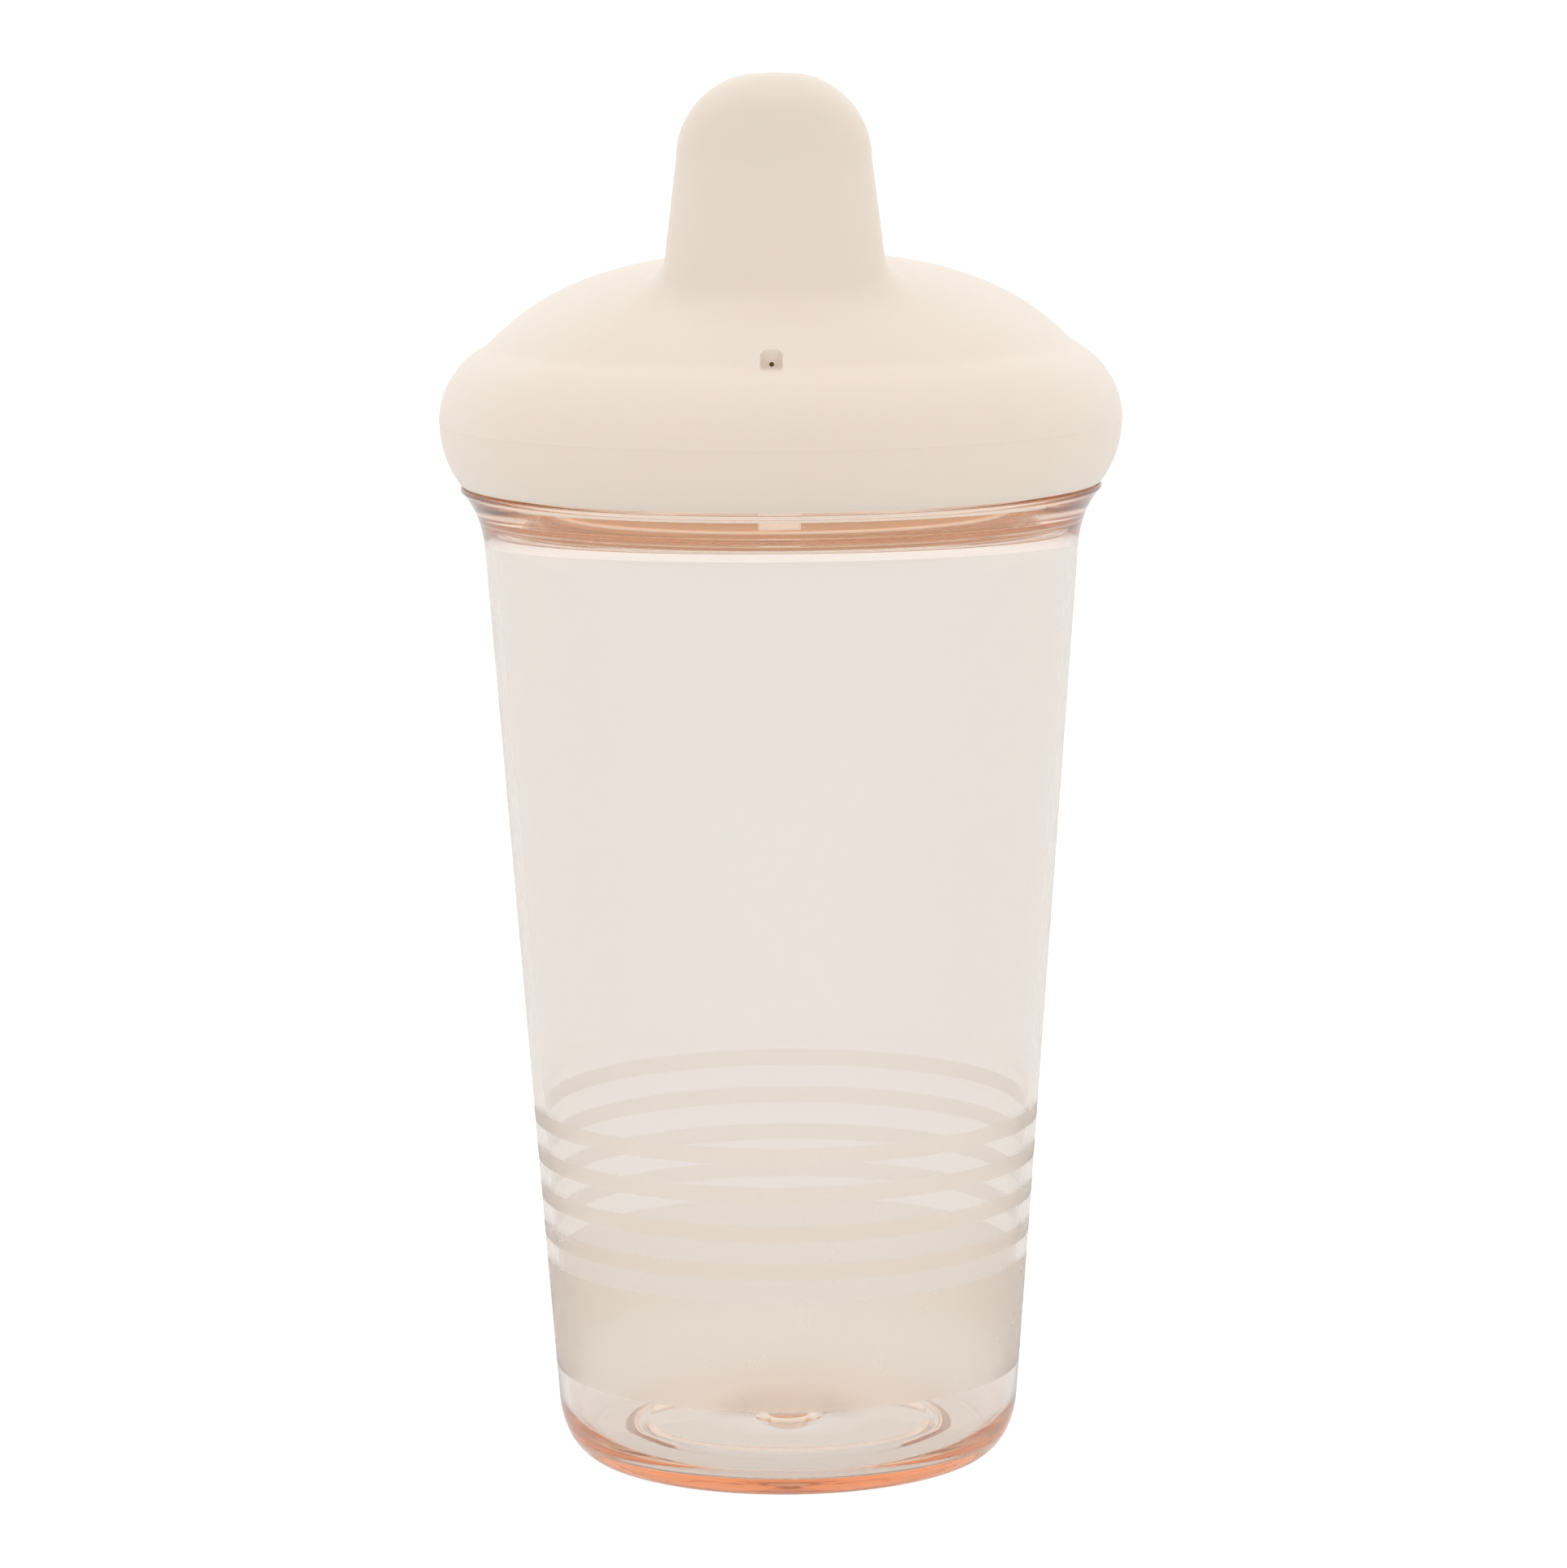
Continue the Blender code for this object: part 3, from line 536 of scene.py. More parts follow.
def lid_profile():
    """The lid's section from the crease on: down the rim, then up the inside and back to the axis."""
    blend, rim_deg = crease_profile()
    outside = blend + arc((LID_RADIUS - RIM_ARC, PARTING), RIM_ARC, rim_deg, 0, 22)[1:-1]
    outside += [(LID_RADIUS, PARTING + PARTING_HALF_HEIGHT),
                (LID_RADIUS - PARTING_STEP, PARTING - PARTING_HALF_HEIGHT)]
    lower = skirt_arc(0.0, 18)[1:]
    outside += [(radius - PARTING_STEP * (1 - i / len(lower)), height)
                for i, (radius, height) in enumerate(lower, 1)][:-1]
    shell = list(reversed(skirt_arc(LID_WALL, 8)))
    edge = rounded([outside[-1], (*lower[-1], LID_EDGE_ROUND), (shell[0][0], LID_EDGE, LID_EDGE_ROUND),
                    shell[0]])[1:-1]
    pocket_top = PARTING + SKIRT_DROP / 2
    pocket_outer = LID_RADIUS - LID_WALL - (SKIRT_DROP / 2) ** 2 / (2 * RIM_ARC)
    skirt_end = LID_EDGE + SKIRT_LIFT
    skirt = rounded([shell[-1], (pocket_outer, pocket_top, POCKET_ROUND),
                     (SKIRT_RADIUS, pocket_top, POCKET_ROUND), (SKIRT_RADIUS, skirt_end, SKIRT_ROUND),
                     (SKIRT_BORE, skirt_end, SKIRT_ROUND), (SKIRT_BORE, SEAL_FACE, 0.2 * MM),
                     (SEAT_RADIUS, SEAL_FACE)])[1:]
    under = list(reversed(dome_inside(LID_WALL, SEAT_RADIUS, 36)))
    return outside + edge + shell + skirt + [(SEAT_RADIUS, under[0][1])] + under


def spout_half_sizes(height):
    """Half width and half depth of the spout's outside at a height, with the tip rounded over."""
    down = TIP - height
    half_x = SPOUT_HALF_WIDTH + SPOUT_FLANK_SLOPE * max(down - TIP_ARC, 0.0)
    half_y = SPOUT_HALF_DEPTH + SPOUT_FACE_SLOPE * max(down - TIP_ARC, 0.0)
    half_x -= TIP_ARC - math.sqrt(TIP_ARC ** 2 - max(TIP_ARC - down, 0.0) ** 2)
    half_y -= TIP_EDGE_ARC - math.sqrt(TIP_EDGE_ARC ** 2 - max(TIP_EDGE_ARC - down, 0.0) ** 2)
    return half_x, half_y


def spout_point(index, height):
    """A point on the spout's side, with the direction out of it in plan."""
    angle = 2 * math.pi * index / TURN_STEPS
    half_x, half_y = spout_half_sizes(height)
    c, s = math.cos(angle), math.sin(angle)
    x = half_x * math.copysign(abs(c) ** (2 / SPOUT_SQUARENESS), c)
    y = half_y * math.copysign(abs(s) ** (2 / SPOUT_SQUARENESS), s)
    power = SPOUT_SQUARENESS - 1.0
    normal = Vector((math.copysign(abs(x / half_x) ** power / half_x, x),
                     math.copysign(abs(y / half_y) ** power / half_y, y), 0.0)).normalized()
    return Vector((x, y - SPOUT_AXIS, height)), normal


def spout_column(index):
    """Points from the spout's tip arc down its side and through the fillet to the dome, at one place."""
    base, normal = spout_point(index, DOME_TOP)
    root = dome_at((base.xy + normal.xy * SPOUT_FILLET).length)[0] + SPOUT_FILLET
    start, normal = spout_point(index, root)
    below, _ = spout_point(index, root - 1.0 * MM)
    foot = start + normal * SPOUT_FILLET
    foot.z, slope = dome_at(foot.xy.length)
    fall = slope * foot.xy.normalized().dot(normal.xy)
    along = Vector((normal.x, normal.y, fall)).normalized()
    hold = FILLET_HOLD * SPOUT_FILLET
    flank_top = TIP - TIP_ARC
    column = [spout_point(index, flank_top + (root - flank_top) * i / 10)[0] for i in range(1, 10)]
    column += [Vector(point) for point in bezier([start, start + (below - start).normalized() * hold,
                                                  foot - along * hold, foot], 14)]
    return column


def lid_outside():
    """Rings of the lid's outside from the spout's tip to the start of the crease."""
    rings = [[(0.0, -SPOUT_AXIS, TIP)]]
    top_x, top_y = spout_half_sizes(TIP)
    rings += [superellipse(-SPOUT_AXIS, top_x * share, top_y * share, TIP, SPOUT_SQUARENESS, TURN_STEPS)
              for share in (0.33, 0.66)]
    for i in range(25):
        height = TIP - TIP_ARC * (1.0 - math.cos(math.radians(90 * i / 24)))
        rings.append(superellipse(-SPOUT_AXIS, *spout_half_sizes(height), height, SPOUT_SQUARENESS,
                                  TURN_STEPS))
    columns = [spout_column(i) for i in range(TURN_STEPS)]
    rings += [list(ring) for ring in zip(*columns)]
    fillet_feet = rings[-1]
    edge_radius = CREASE_RADIUS - CREASE_BLEND
    for k in range(1, DOME_RINGS):
        share = (k / DOME_RINGS) ** DOME_RING_BUNCHING
        ring = []
        for i, foot in enumerate(fillet_feet):
            angle = 2 * math.pi * i / TURN_STEPS
            edge = Vector((edge_radius * math.cos(angle), edge_radius * math.sin(angle)))
            spot = foot.xy.lerp(edge, share)
            ring.append((spot.x, spot.y, dome_at(spot.length)[0]))
        rings.append(ring)
    return rings


def spout_hollow():
    """The hollow through the collar and up the spout, a wall's thickness inside it."""
    bore_x = COLLAR_HALF_WIDTH - COLLAR_WALL
    bore_y = COLLAR_HALF_DEPTH - COLLAR_WALL
    rings = [superellipse(-COLLAR_AXIS, bore_x, bore_y, height, 2.0)
             for height in (SOCKET_END - CUT_MARGIN, DOME_TOP - 2 * LID_WALL)]
    levels = [DOME_TOP + 2 * LID_WALL]
    levels += [TIP - TIP_ARC * share for share in (1.0, 0.8, 0.6, 0.45, 0.32, 0.22, 0.14, 0.1)]
    for level in levels:
        half_x, half_y = spout_half_sizes(level)
        rings.append(superellipse(-SPOUT_AXIS, half_x - SPOUT_WALL, half_y - SPOUT_WALL, level - SPOUT_WALL,
                                  SPOUT_SQUARENESS))
    return capped("spout_hollow", rings)


def drink_holes():
    """Cutters of the three drinking holes in the tip, each with a small flare at the surface."""
    cutters = []
    for i in (-1, 0, 1):
        x = i * DRINK_HOLE_SPACING
        top = TIP - (TIP_ARC - math.sqrt(TIP_ARC ** 2 - max(abs(x) - (SPOUT_HALF_WIDTH - TIP_ARC), 0.0) ** 2))
        cutters.append(rod(f"drink_hole_{i + 1}", (DRINK_HOLE_RADIUS, DRINK_HOLE_RADIUS),
                           (x, -SPOUT_AXIS, TIP - TIP_ARC / 2), (x, -SPOUT_AXIS, TIP + CUT_MARGIN), sides=48))
        cutters.append(rod(f"drink_flare_{i + 1}",
                           (DRINK_HOLE_RADIUS * 0.9, DRINK_HOLE_RADIUS + 4 * DRINK_HOLE_FLARE),
                           (x, -SPOUT_AXIS, top - 1.4 * DRINK_HOLE_FLARE),
                           (x, -SPOUT_AXIS, top + 3 * DRINK_HOLE_FLARE), sides=48))
    return cutters


def vent_line():
    """The vent passage's ends: in the boss's hollow, and behind the mouth on the crease."""
    inner = Vector((0.0, -VENT_AXIS, SOCKET_END + VENT_PASSAGE_LIFT))
    outer = Vector((0.0, VENT_MOUTH_DEPTH - CREASE_RADIUS, CREASE - VENT_MOUTH_DROP + VENT_HOLE_LIFT))
    return inner, outer


def sockets():
    """The oval collar under the spout, the vent boss and the rib round the vent's passage."""
    end = SOCKET_END
    ease = 0.3 * MM
    levels = ((ease, end), (ease / 3, end + ease / 3), (0.0, end + ease), (0.0, DOME_TOP))
    collar_rings = [superellipse(-COLLAR_AXIS, COLLAR_HALF_WIDTH - inset, COLLAR_HALF_DEPTH - inset,
                                 height, 2.0) for inset, height in levels]
    collar = capped("collar", collar_rings)
    boss = rod("vent_boss", (VENT_BOSS_RADIUS, VENT_BOSS_RADIUS), (0.0, -VENT_AXIS, end),
               (0.0, -VENT_AXIS, DOME_TOP))
    rib_bottom = vent_line()[0].z - VENT_RIB_HALF_WIDTH
    rib = block("vent_rib", (-VENT_RIB_HALF_WIDTH, 0.5 * MM - NECK_BORE, rib_bottom),
                (VENT_RIB_HALF_WIDTH, -VENT_AXIS, DOME_TOP))
    core = skin("dome_core", revolved(dome_inside(LID_WALL / 2, CREASE_RADIUS, 24)
                                      + [(CREASE_RADIUS - LID_WALL, LID_EDGE), (0.0, LID_EDGE)], 96))
    combine(collar, 'UNION', [boss, rib])
    combine(collar, 'INTERSECT', [core])
    return collar


def vent_mouth():
    """Cutter of the arched recess on the crease, opened a little wider at the surface."""
    half = VENT_MOUTH_WIDTH / 2
    bottom = CREASE - VENT_MOUTH_DROP
    spring = bottom + VENT_MOUTH_HEIGHT - half
    corner = half / 2.4
    outline = arc((0.0, spring), half, 0, 180, 20)
    outline += arc((corner - half, bottom + corner), corner, 180, 270, 6)
    outline += arc((half - corner, bottom + corner), corner, 270, 360, 6)
    middle = Vector((0.0, spring - half / 4))
    rings = []
    for y, grow in ((-LID_RADIUS, 3.0), (-CREASE_RADIUS - 0.2 * MM, 1.0), (-CREASE_RADIUS + 0.35 * MM, 0.3),
                    (-CREASE_RADIUS + 0.7 * MM, 0.0), (VENT_MOUTH_DEPTH - CREASE_RADIUS - 0.5 * MM, 0.0),
                    (VENT_MOUTH_DEPTH - CREASE_RADIUS, -2.0)):
        ring = []
        for point in outline:
            out = (Vector(point) - middle).normalized() * grow * VENT_MOUTH_FLARE
            ring.append((point[0] + out.x, y, point[1] + out.y))
        rings.append(ring)
    return capped("vent_mouth", rings)


def make_lid():
    """The lid: one moulding with spout, vent, threaded skirt and the sockets for the valve."""
    lid = skin("cream_lid", lid_outside() + revolved(lid_profile()))
    low = LID_EDGE + SKIRT_LIFT + RIDGE_BASE / 2 + THREAD_MARGIN / 2
    high = NECK_TOP - RIDGE_BASE / 2 - THREAD_MARGIN / 2
    half_pitch = THREAD_LEAD / THREAD_STARTS / 2
    ridges = [thread_ridge(f"skirt_ridge_{start}", SKIRT_BORE, NECK_RADIUS + THREAD_CLEARANCE, low, high,
                           SHOULDER + half_pitch, start) for start in range(THREAD_STARTS)]
    combine(lid, 'UNION', [sockets()] + ridges)
    inner, outer = vent_line()
    hollow_top = inner.z + VENT_PASSAGE_RADIUS
    boss_bore = VENT_BOSS_RADIUS - VENT_BOSS_WALL
    cutters = [spout_hollow(), vent_mouth()] + drink_holes()
    cutters.append(rod("vent_hollow", (boss_bore, boss_bore), (0.0, -VENT_AXIS, SOCKET_END - CUT_MARGIN),
                       (0.0, -VENT_AXIS, hollow_top), sides=40))
    cutters.append(rod("vent_passage", (VENT_PASSAGE_RADIUS, VENT_HOLE_RADIUS), inner,
                       outer.lerp(inner, -0.1), sides=32))
    combine(lid, 'DIFFERENCE', cutters)
    return lid


# ---------------------------------------------------------------- seals

def slit_cross(name, centre_y, length, low, high):
    """Two crossed slits through a membrane."""
    half, thin = length / 2, SLIT_WIDTH / 2
    return [block(name, (-half, centre_y - thin, low), (half, centre_y + thin, high)),
            block(name + "_across", (-thin, centre_y - half, low), (thin, centre_y + half, high))]


def valve_cup(name, centre_y, pocket_x, pocket_y):
    """One of the valve's slit cups: an oval of soft wall with a rounded rim round a thin floor."""
    floor_top = SOCKET_END - VALVE_CLEARANCE
    bottom = floor_top - VALVE_FLOOR
    top = VALVE_HIGH.z
    wall = VALVE_WALL
    waist = wall - 0.25 * MM
    middle = -0.45 * pocket_y
    section = rounded([(middle, bottom), (wall, bottom, 0.4 * MM), (wall, bottom + 1.1 * MM, 0.3 * MM),
                       (waist, bottom + 1.5 * MM, 0.3 * MM), (waist, top - 0.9 * MM, 0.2 * MM),
                       (wall, top - 0.65 * MM, 0.2 * MM), (wall, top, 0.3 * MM), (0.0, top, 0.3 * MM),
                       (0.0, floor_top, 0.3 * MM), (middle, floor_top)])
    rings = [superellipse(centre_y, pocket_x + out, pocket_y + out, height, 2.0) for out, height in section]
    rings.insert(0, [(0.0, centre_y, bottom)])
    rings.append([(0.0, centre_y, floor_top)])
    return skin(name, rings)


def make_valve():
    """The silicone valve: an oval slit cup and a round one, joined by a web with a ribbed pull tab."""
    floor_top = SOCKET_END - VALVE_CLEARANCE
    floor_bottom = floor_top - VALVE_FLOOR
    pocket_y = COLLAR_HALF_DEPTH + VALVE_CLEARANCE
    pocket_vent = VENT_BOSS_RADIUS + VALVE_CLEARANCE
    valve = valve_cup("slit_valve", -COLLAR_AXIS, COLLAR_HALF_WIDTH + VALVE_CLEARANCE, pocket_y)
    vent_cup = valve_cup("valve_vent_cup", -VENT_AXIS, pocket_vent, pocket_vent)
    web = block("valve_web", (-WEB_WIDTH / 2, -VENT_AXIS, floor_bottom + VALVE_FLOOR / 8),
                (WEB_WIDTH / 2, -COLLAR_AXIS, floor_top - VALVE_FLOOR / 8), 0.2 * MM)
    tab_back = -COLLAR_AXIS + pocket_y
    tab = block("valve_tab", (-TAB_WIDTH / 2, tab_back - TAB_THICKNESS + 0.25 * MM, VALVE_LOW.z),
                (TAB_WIDTH / 2, tab_back - 0.25 * MM, floor_top - VALVE_FLOOR / 4), 0.35 * MM)
    grip = 0.42 * TAB_WIDTH
    grips = [block(f"valve_grip_{k}", (-grip, tab_back - TAB_THICKNESS, VALVE_LOW.z + (0.5 + k) * MM),
                   (grip, tab_back, VALVE_LOW.z + (1.0 + k) * MM), 0.18 * MM) for k in range(3)]
    combine(valve, 'UNION', [vent_cup, web, tab] + grips)
    below = VALVE_LOW.z - CUT_MARGIN
    above = floor_top + CUT_MARGIN / 4
    slits = slit_cross("valve_slit", -COLLAR_AXIS, SLIT_LENGTH, below, above)
    slits += slit_cross("valve_vent_slit", -VENT_AXIS, VENT_SLIT_LENGTH, below, above)
    combine(valve, 'DIFFERENCE', slits)
    return valve


def make_seal():
    """The gasket: a flat ring with two low sealing beads on each face."""
    inner, outer = NECK_BORE + PART_GAP, SEAL_HIGH.x
    bottom, top = SEAL_LOW.z, SEAL_HIGH.z
    bead = 0.2 * MM
    middle = (inner + outer) / 2
    face = []
    for side in (-1, 1):
        centre = middle + side * (outer - inner) / 4
        face += [(centre - 2 * bead, bead), (centre - bead, 0.0, 0.1 * MM), (centre + bead, 0.0, 0.1 * MM),
                 (centre + 2 * bead, bead)]
    upper = [(point[0], top - point[1], *point[2:]) for point in face]
    lower = [(point[0], bottom + point[1], *point[2:]) for point in reversed(face)]
    edges = [(outer, top - bead, 0.3 * MM), (outer, bottom + bead, 0.3 * MM)]
    edges_inside = [(inner, bottom + bead, 0.3 * MM), (inner, top - bead, 0.3 * MM)]
    section = rounded(upper + edges + lower + edges_inside + upper[:1])[:-1]
    return skin("beaded_seal", revolved(section), closed=True)


# ---------------------------------------------------------------- materials

def new_material(name):
    """A node material with its Principled shader, and short ways to add and join nodes."""
    material = bpy.data.materials.new(name)
    material.use_nodes = True
    tree = material.node_tree
    shader = tree.nodes["Principled BSDF"]

    def add(kind, **values):
        node = tree.nodes.new(kind)
        for key, value in values.items():
            if hasattr(node, key):
                setattr(node, key, value)
            else:
                node.inputs[key.replace("_", " ")].default_value = value
        return node

    def join(source, target):
        tree.links.new(source, target)

    return material, shader, add, join


def maths(add, join, operation, first, second):
    """A Math node between sockets or plain numbers; returns its output."""
    node = add("ShaderNodeMath", operation=operation)
    for socket, value in zip(node.inputs, (first, second)):
        if isinstance(value, (int, float)):
            socket.default_value = value
        else:
            join(value, socket)
    return node.outputs[0]


def noise(add, join, coordinates, size, detail=2.0):
    """Noise whose blobs are about a given size across; returns its factor output."""
    node = add("ShaderNodeTexNoise", Scale=1.0 / size, Detail=detail, Roughness=0.55)
    join(coordinates, node.inputs["Vector"])
    return node.outputs["Fac"]


def spread(add, join, source, low, high):
    """Map a 0.3 to 0.7 noise factor onto a range; returns its output."""
    node = add("ShaderNodeMapRange")
    for name, value in (("From Min", 0.3), ("From Max", 0.7), ("To Min", low), ("To Max", high)):
        node.inputs[name].default_value = value
    join(source, node.inputs["Value"])
    return node.outputs["Result"]


def grain(add, join, shader, heights, depth):
    """Bump from a height output, as deep as given."""
    node = add("ShaderNodeBump", Strength=1.0, Distance=depth)
    join(heights, node.inputs["Height"])
    join(node.outputs["Normal"], shader.inputs["Normal"])
    return node


def cream_plastic(name, painted_glow=0.0):
    """Satin polypropylene of the lid: fine spark-eroded grain, a little light under the surface.

    The emission set by the last argument is a painted warm glow on the lid's inner faces, standing in for
    light that comes through its thin wall.
    """
    material, shader, add, join = new_material(name)
    # Painted glow: an orange emission that stands in for light coming through the thin wall
    shader.inputs["Emission Color"].default_value = (1.0, 0.52, 0.24, 1.0)
    shader.inputs["Emission Strength"].default_value = painted_glow
    shader.inputs["IOR"].default_value = 1.49
    shader.inputs["Subsurface Weight"].default_value = 0.3
    shader.inputs["Subsurface Radius"].default_value = (1.0, 0.75, 0.55)
    shader.inputs["Subsurface Scale"].default_value = 2.5 * MM
    shader.inputs["Sheen Weight"].default_value = 0.25
    shader.inputs["Sheen Roughness"].default_value = 0.45
    place = add("ShaderNodeTexCoord").outputs["Object"]
    tone = add("ShaderNodeMix", data_type='RGBA')
    tone.inputs[6].default_value = (0.832, 0.728, 0.628, 1.0)
    tone.inputs[7].default_value = (0.852, 0.751, 0.651, 1.0)
    join(spread(add, join, noise(add, join, place, 22 * MM), 0.0, 1.0), tone.inputs[0])
    join(tone.outputs[2], shader.inputs["Base Color"])
    join(spread(add, join, noise(add, join, place, 7 * MM, 3.0), 0.40, 0.48), shader.inputs["Roughness"])
    grain(add, join, shader, noise(add, join, place, 0.22 * MM, 1.0), 0.004 * MM)
    return material


def peach_plastic():
    """Clear peach-tinted copolyester of the cup, polished but for the frosted bands on its outside."""
    material, shader, add, join = new_material("peach_plastic")
    shader.inputs["IOR"].default_value = 1.53
    tint = add("ShaderNodeVolumeAbsorption", Color=(0.95, 0.50, 0.10, 1.0), Density=48.0)
    join(tint.outputs[0], material.node_tree.nodes["Material Output"].inputs["Volume"])
    place = add("ShaderNodeTexCoord").outputs["Object"]
    split = add("ShaderNodeSeparateXYZ")
    join(place, split.inputs[0])
    height = split.outputs["Z"]
    flat = add("ShaderNodeCombineXYZ")
    join(split.outputs["X"], flat.inputs["X"])
    join(split.outputs["Y"], flat.inputs["Y"])
    length = add("ShaderNodeVectorMath", operation='LENGTH')
    join(flat.outputs[0], length.inputs[0])
    middle = maths(add, join, 'MULTIPLY_ADD', height, math.tan(WALL_TAPER))
    middle.node.inputs[2].default_value = wall_radius(0.0) - CUP_WALL / 2
    outer = maths(add, join, 'GREATER_THAN', length.outputs["Value"], middle)
    masks = []
    band_starts = [LOWEST_BAND + k * BAND_PITCH for k in range(BAND_COUNT)]
    spans = [(ZONE_LOW, ZONE_HIGH)] + [(start, start + BAND_HEIGHT) for start in band_starts]
    for low, high in spans:
        node = add("ShaderNodeMath", operation='COMPARE')
        join(height, node.inputs[0])
        node.inputs[1].default_value = (low + high) / 2
        node.inputs[2].default_value = (high - low) / 2
        masks.append(node.outputs[0])
    mask = masks[0]
    for other in masks[1:]:
        mask = maths(add, join, 'ADD', mask, other)
    mask = maths(add, join, 'MULTIPLY', mask, outer)
    clear = spread(add, join, noise(add, join, place, 9 * MM, 3.0), 0.015, 0.045)
    frost = spread(add, join, noise(add, join, place, 3 * MM, 3.0), 0.27, 0.33)
    blend = add("ShaderNodeMix", data_type='FLOAT')
    join(mask, blend.inputs[0])
    join(clear, blend.inputs[2])
    join(frost, blend.inputs[3])
    join(blend.outputs[0], shader.inputs["Roughness"])
    tone = add("ShaderNodeMix", data_type='RGBA')
    tone.inputs[6].default_value = (0.985, 0.972, 0.958, 1.0)
    tone.inputs[7].default_value = (1.0, 0.93, 0.85, 1.0)
    join(mask, tone.inputs[0])
    join(tone.outputs[2], shader.inputs["Base Color"])
    haze = add("ShaderNodeMapRange")
    join(mask, haze.inputs["Value"])
    haze.inputs["To Min"].default_value = 0.975
    haze.inputs["To Max"].default_value = 0.91
    join(haze.outputs["Result"], shader.inputs["Transmission Weight"])
    fine = maths(add, join, 'MULTIPLY', noise(add, join, place, 0.3 * MM, 1.0), mask)
    grain(add, join, shader, fine, 0.002 * MM)
    return material


def silicone(name, colour, roughness):
    """Soft translucent silicone with a faint haze and dusty grain, and a painted glow: an emission standing
    in for light coming through the lid.
    """
    material, shader, add, join = new_material(name)
    # Painted glow: a pale emission that stands in for light coming through the lid
    shader.inputs["Emission Color"].default_value = (1.0, 0.82, 0.68, 1.0)
    shader.inputs["Emission Strength"].default_value = SILICONE_PAINTED_GLOW
    shader.inputs["IOR"].default_value = 1.41
    shader.inputs["Subsurface Weight"].default_value = 0.45
    shader.inputs["Subsurface Radius"].default_value = (1.0, 0.95, 0.9)
    shader.inputs["Subsurface Scale"].default_value = 2.0 * MM
    place = add("ShaderNodeTexCoord").outputs["Object"]
    tone = add("ShaderNodeMix", data_type='RGBA')
    tone.inputs[6].default_value = (*(channel * 0.97 for channel in colour), 1.0)
    tone.inputs[7].default_value = (*colour, 1.0)
    join(spread(add, join, noise(add, join, place, 4 * MM), 0.0, 1.0), tone.inputs[0])
    join(tone.outputs[2], shader.inputs["Base Color"])
    join(spread(add, join, noise(add, join, place, 2 * MM, 3.0), roughness - 0.05, roughness + 0.05),
         shader.inputs["Roughness"])
    grain(add, join, shader, noise(add, join, place, 0.12 * MM, 1.0), 0.003 * MM)
    return material


# ---------------------------------------------------------------- pieces, floor, light and camera

def shell_radius(height):
    """Radius of the lid's outside at a height, from its edge up to the crease."""
    if height >= PARTING:
        return LID_RADIUS - RIM_ARC + math.sqrt(max(RIM_ARC ** 2 - (height - PARTING) ** 2, 0.0))
    return LID_RADIUS - SKIRT_ARC + math.sqrt(SKIRT_ARC ** 2 - (PARTING - height) ** 2)


def inside_lid(spot):
    """Whether a point on the lid's surface is on its inner side, about a wall or more below the outside;
    these faces get the painted glow.

    The vent's passage is left out.
    """
    radius = spot.xy.length
    if spot.z > PARTING and abs(spot.x) < VENT_MOUTH_WIDTH and spot.y < VENT_BOSS_RADIUS - VENT_AXIS:
        return False
    depth = LID_WALL - INSIDE_MARGIN
    if spot.z >= CREASE:
        return radius < CREASE_RADIUS and spot.z < dome_at(radius)[0] - depth
    return spot.z < LID_EDGE + EDGE_MARGIN or radius < shell_radius(spot.z) - depth


def place_piece(obj, body, node, slot, *materials):
    """Finish a piece and let it stand for its CAD node."""
    obj.data.materials.clear()
    for material in materials:
        obj.data.materials.append(material)
    obj.data.shade_smooth()
    obj.data.set_sharp_from_angle(angle=SHARP_ANGLE)
    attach(obj, body)
    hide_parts(node)


def make_floor():
    """A plain pale floor, overexposed to white where it is seen directly and see-through from below."""
    bm = bmesh.new()
    bmesh.ops.create_grid(bm, x_segments=1, y_segments=1, size=FLOOR_SIZE)
    floor = finished("floor", bm)
    floor.location.z = MODEL_BOX[0].z
    material, shader, add, join = new_material("pale_floor")
    shader.inputs["Base Color"].default_value = (0.28, 0.28, 0.28, 1.0)
    shader.inputs["Roughness"].default_value = 0.9
    shader.inputs["Specular IOR Level"].default_value = 0.0
    shader.inputs["Emission Color"].default_value = (1.0, 1.0, 1.0, 1.0)
    seen = add("ShaderNodeLightPath")
    glow = maths(add, join, 'MULTIPLY_ADD', seen.outputs["Is Camera Ray"], FLOOR_GLOW_SEEN)
    glow.node.inputs[2].default_value = FLOOR_GLOW
    join(glow, shader.inputs["Emission Strength"])
    see_through = add("ShaderNodeMixShader")
    join(add("ShaderNodeNewGeometry").outputs["Backfacing"], see_through.inputs[0])
    join(shader.outputs[0], see_through.inputs[1])
    join(add("ShaderNodeBsdfTransparent").outputs[0], see_through.inputs[2])
    join(see_through.outputs[0], material.node_tree.nodes["Material Output"].inputs["Surface"])
    floor.data.materials.append(material)


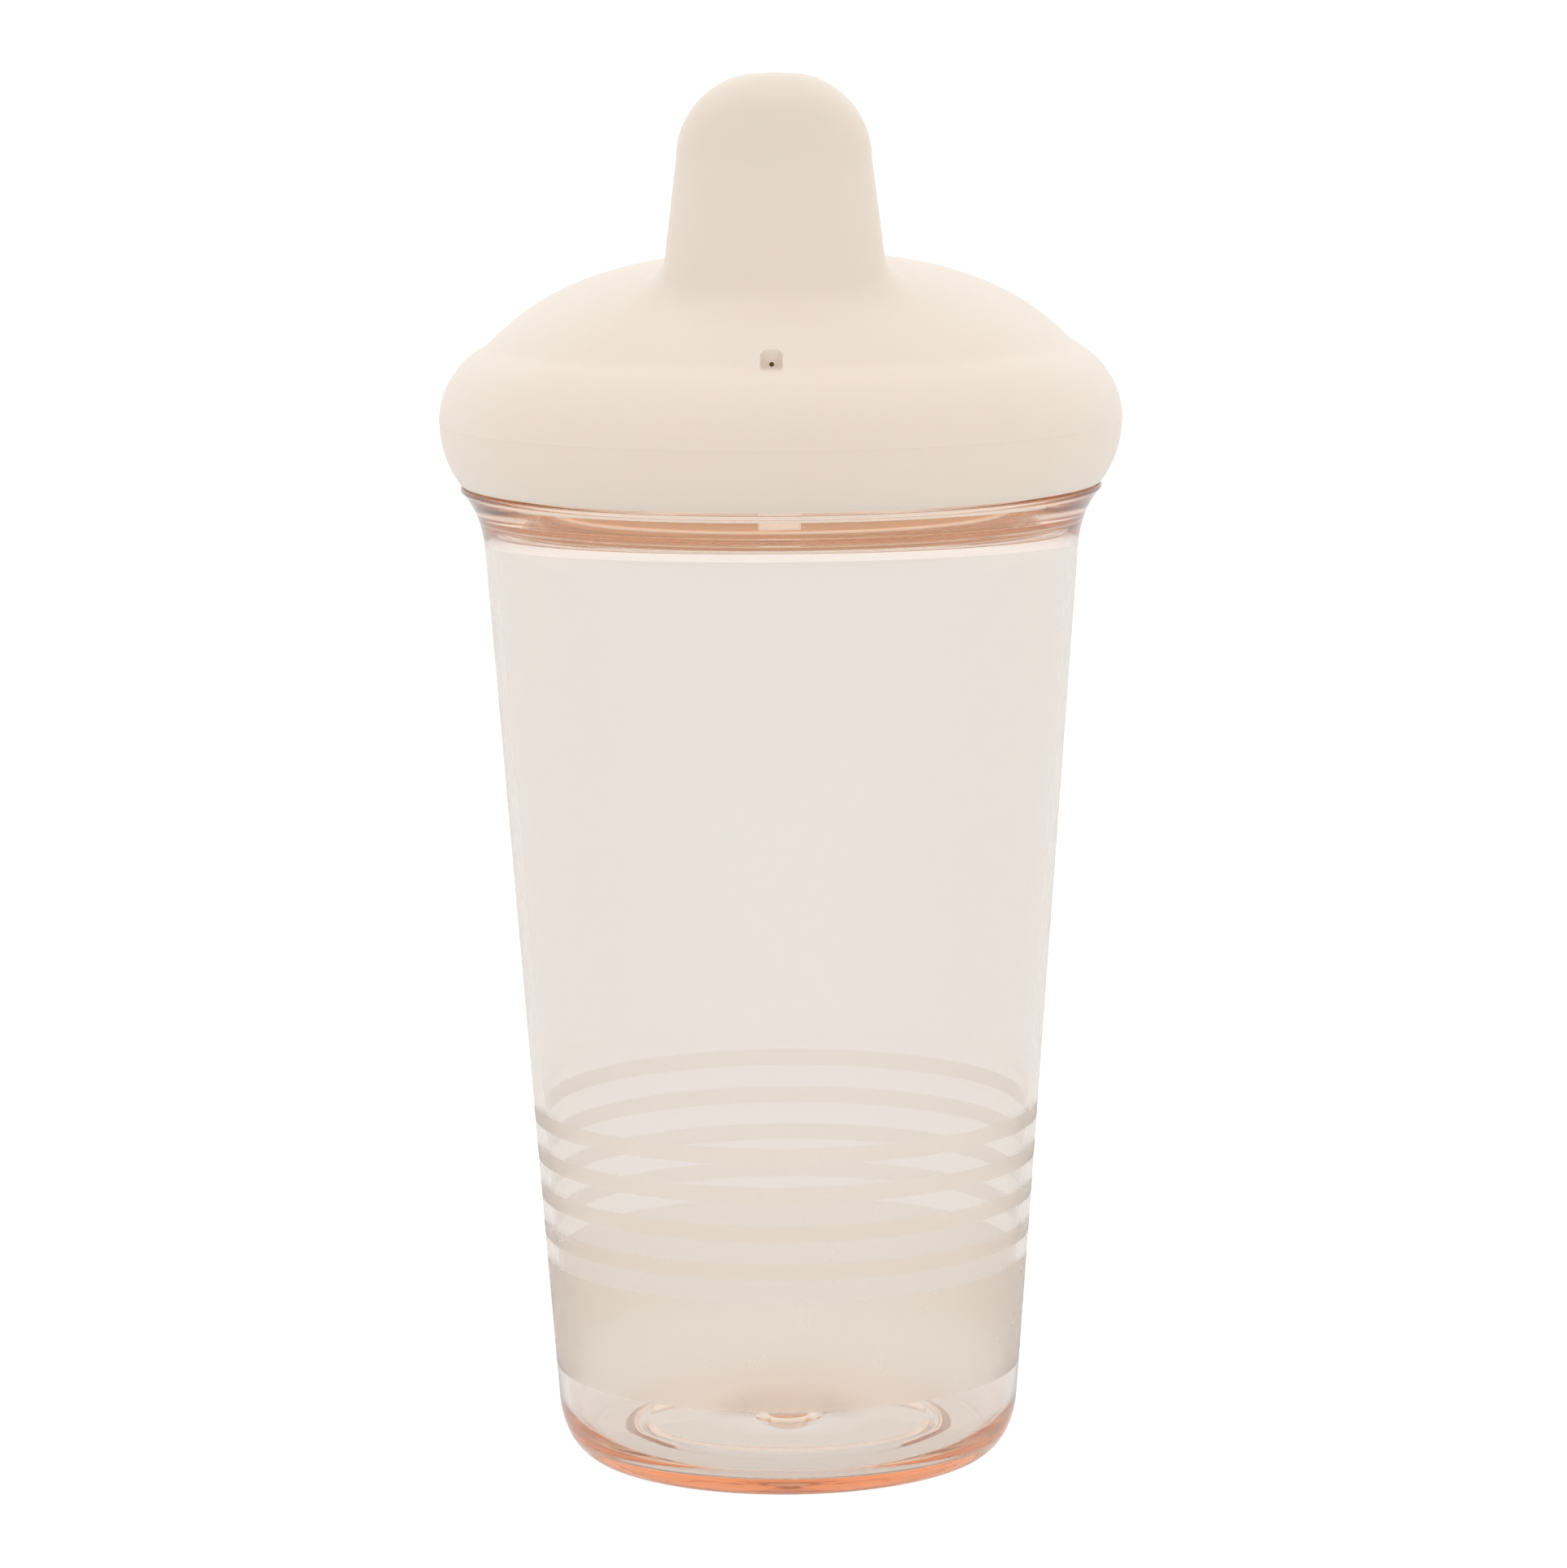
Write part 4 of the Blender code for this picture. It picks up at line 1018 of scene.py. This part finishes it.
def make_light():
    """An even white surround: brightest overhead and a little dimmer on the viewer's side."""
    world = bpy.data.worlds.new("studio")
    bpy.context.scene.world = world
    world.use_nodes = True
    tree = world.node_tree
    background = tree.nodes["Background"]
    background.inputs["Color"].default_value = (1.0, 1.0, 1.0, 1.0)
    place = tree.nodes.new("ShaderNodeTexCoord")
    split = tree.nodes.new("ShaderNodeSeparateXYZ")
    ramp = tree.nodes.new("ShaderNodeMapRange")
    tree.links.new(place.outputs["Generated"], split.inputs[0])
    tree.links.new(split.outputs["Y"], ramp.inputs["Value"])
    for name, value in (("From Min", -1.0), ("From Max", 0.3), ("To Min", 0.82), ("To Max", 1.05)):
        ramp.inputs[name].default_value = value
    overhead = tree.nodes.new("ShaderNodeMath")
    overhead.operation = 'MULTIPLY_ADD'
    tree.links.new(split.outputs["Z"], overhead.inputs[0])
    overhead.inputs[1].default_value = 0.14
    tree.links.new(ramp.outputs["Result"], overhead.inputs[2])
    tree.links.new(overhead.outputs[0], background.inputs["Strength"])


def make_camera():
    """The camera, at the photograph's viewing angle."""
    distance, height = 722.6 * MM, 189.8 * MM
    azimuth, pitch, roll = math.radians(1.7), math.radians(8.65), math.radians(-0.444)
    data = bpy.data.cameras.new("camera")
    data.lens = 142.5
    data.sensor_width = 36.0
    camera = bpy.data.objects.new("camera", data)
    bpy.context.scene.collection.objects.link(camera)
    turn = Matrix.Rotation(azimuth, 4, 'Z')
    tilt = Matrix.Rotation(math.pi / 2 - pitch, 4, 'X') @ Matrix.Rotation(roll, 4, 'Z')
    camera.matrix_world = turn @ Matrix.Translation((0.0, -distance, height)) @ tilt
    bpy.context.scene.camera = camera


make_floor()
make_light()
make_camera()
bpy.context.scene.view_settings.view_transform = 'Standard'
bpy.context.scene.cycles.max_bounces = LIGHT_BOUNCES
bpy.context.scene.cycles.transmission_bounces = LIGHT_BOUNCES
bpy.context.scene.cycles.glossy_bounces = LIGHT_BOUNCES
place_piece(make_cup(), "cup", "cup_body", "cup_plastic", peach_plastic())
lid = make_lid()
place_piece(lid, "lid", "lid", "lid_plastic",
            cream_plastic("cream_plastic"), cream_plastic("cream_plastic_inside_painted_glow", LID_PAINTED_GLOW))
# The lid's inner faces take the second material, which has the painted orange glow
for face in lid.data.polygons:
    face.material_index = int(inside_lid(face.center))
place_piece(make_valve(), "valve", "valve", "valve_silicone",
            silicone("valve_silicone", (0.88, 0.87, 0.85), 0.38))
place_piece(make_seal(), "seal", "seal_ring", "seal_silicone",
            silicone("seal_silicone", (0.86, 0.84, 0.81), 0.45))
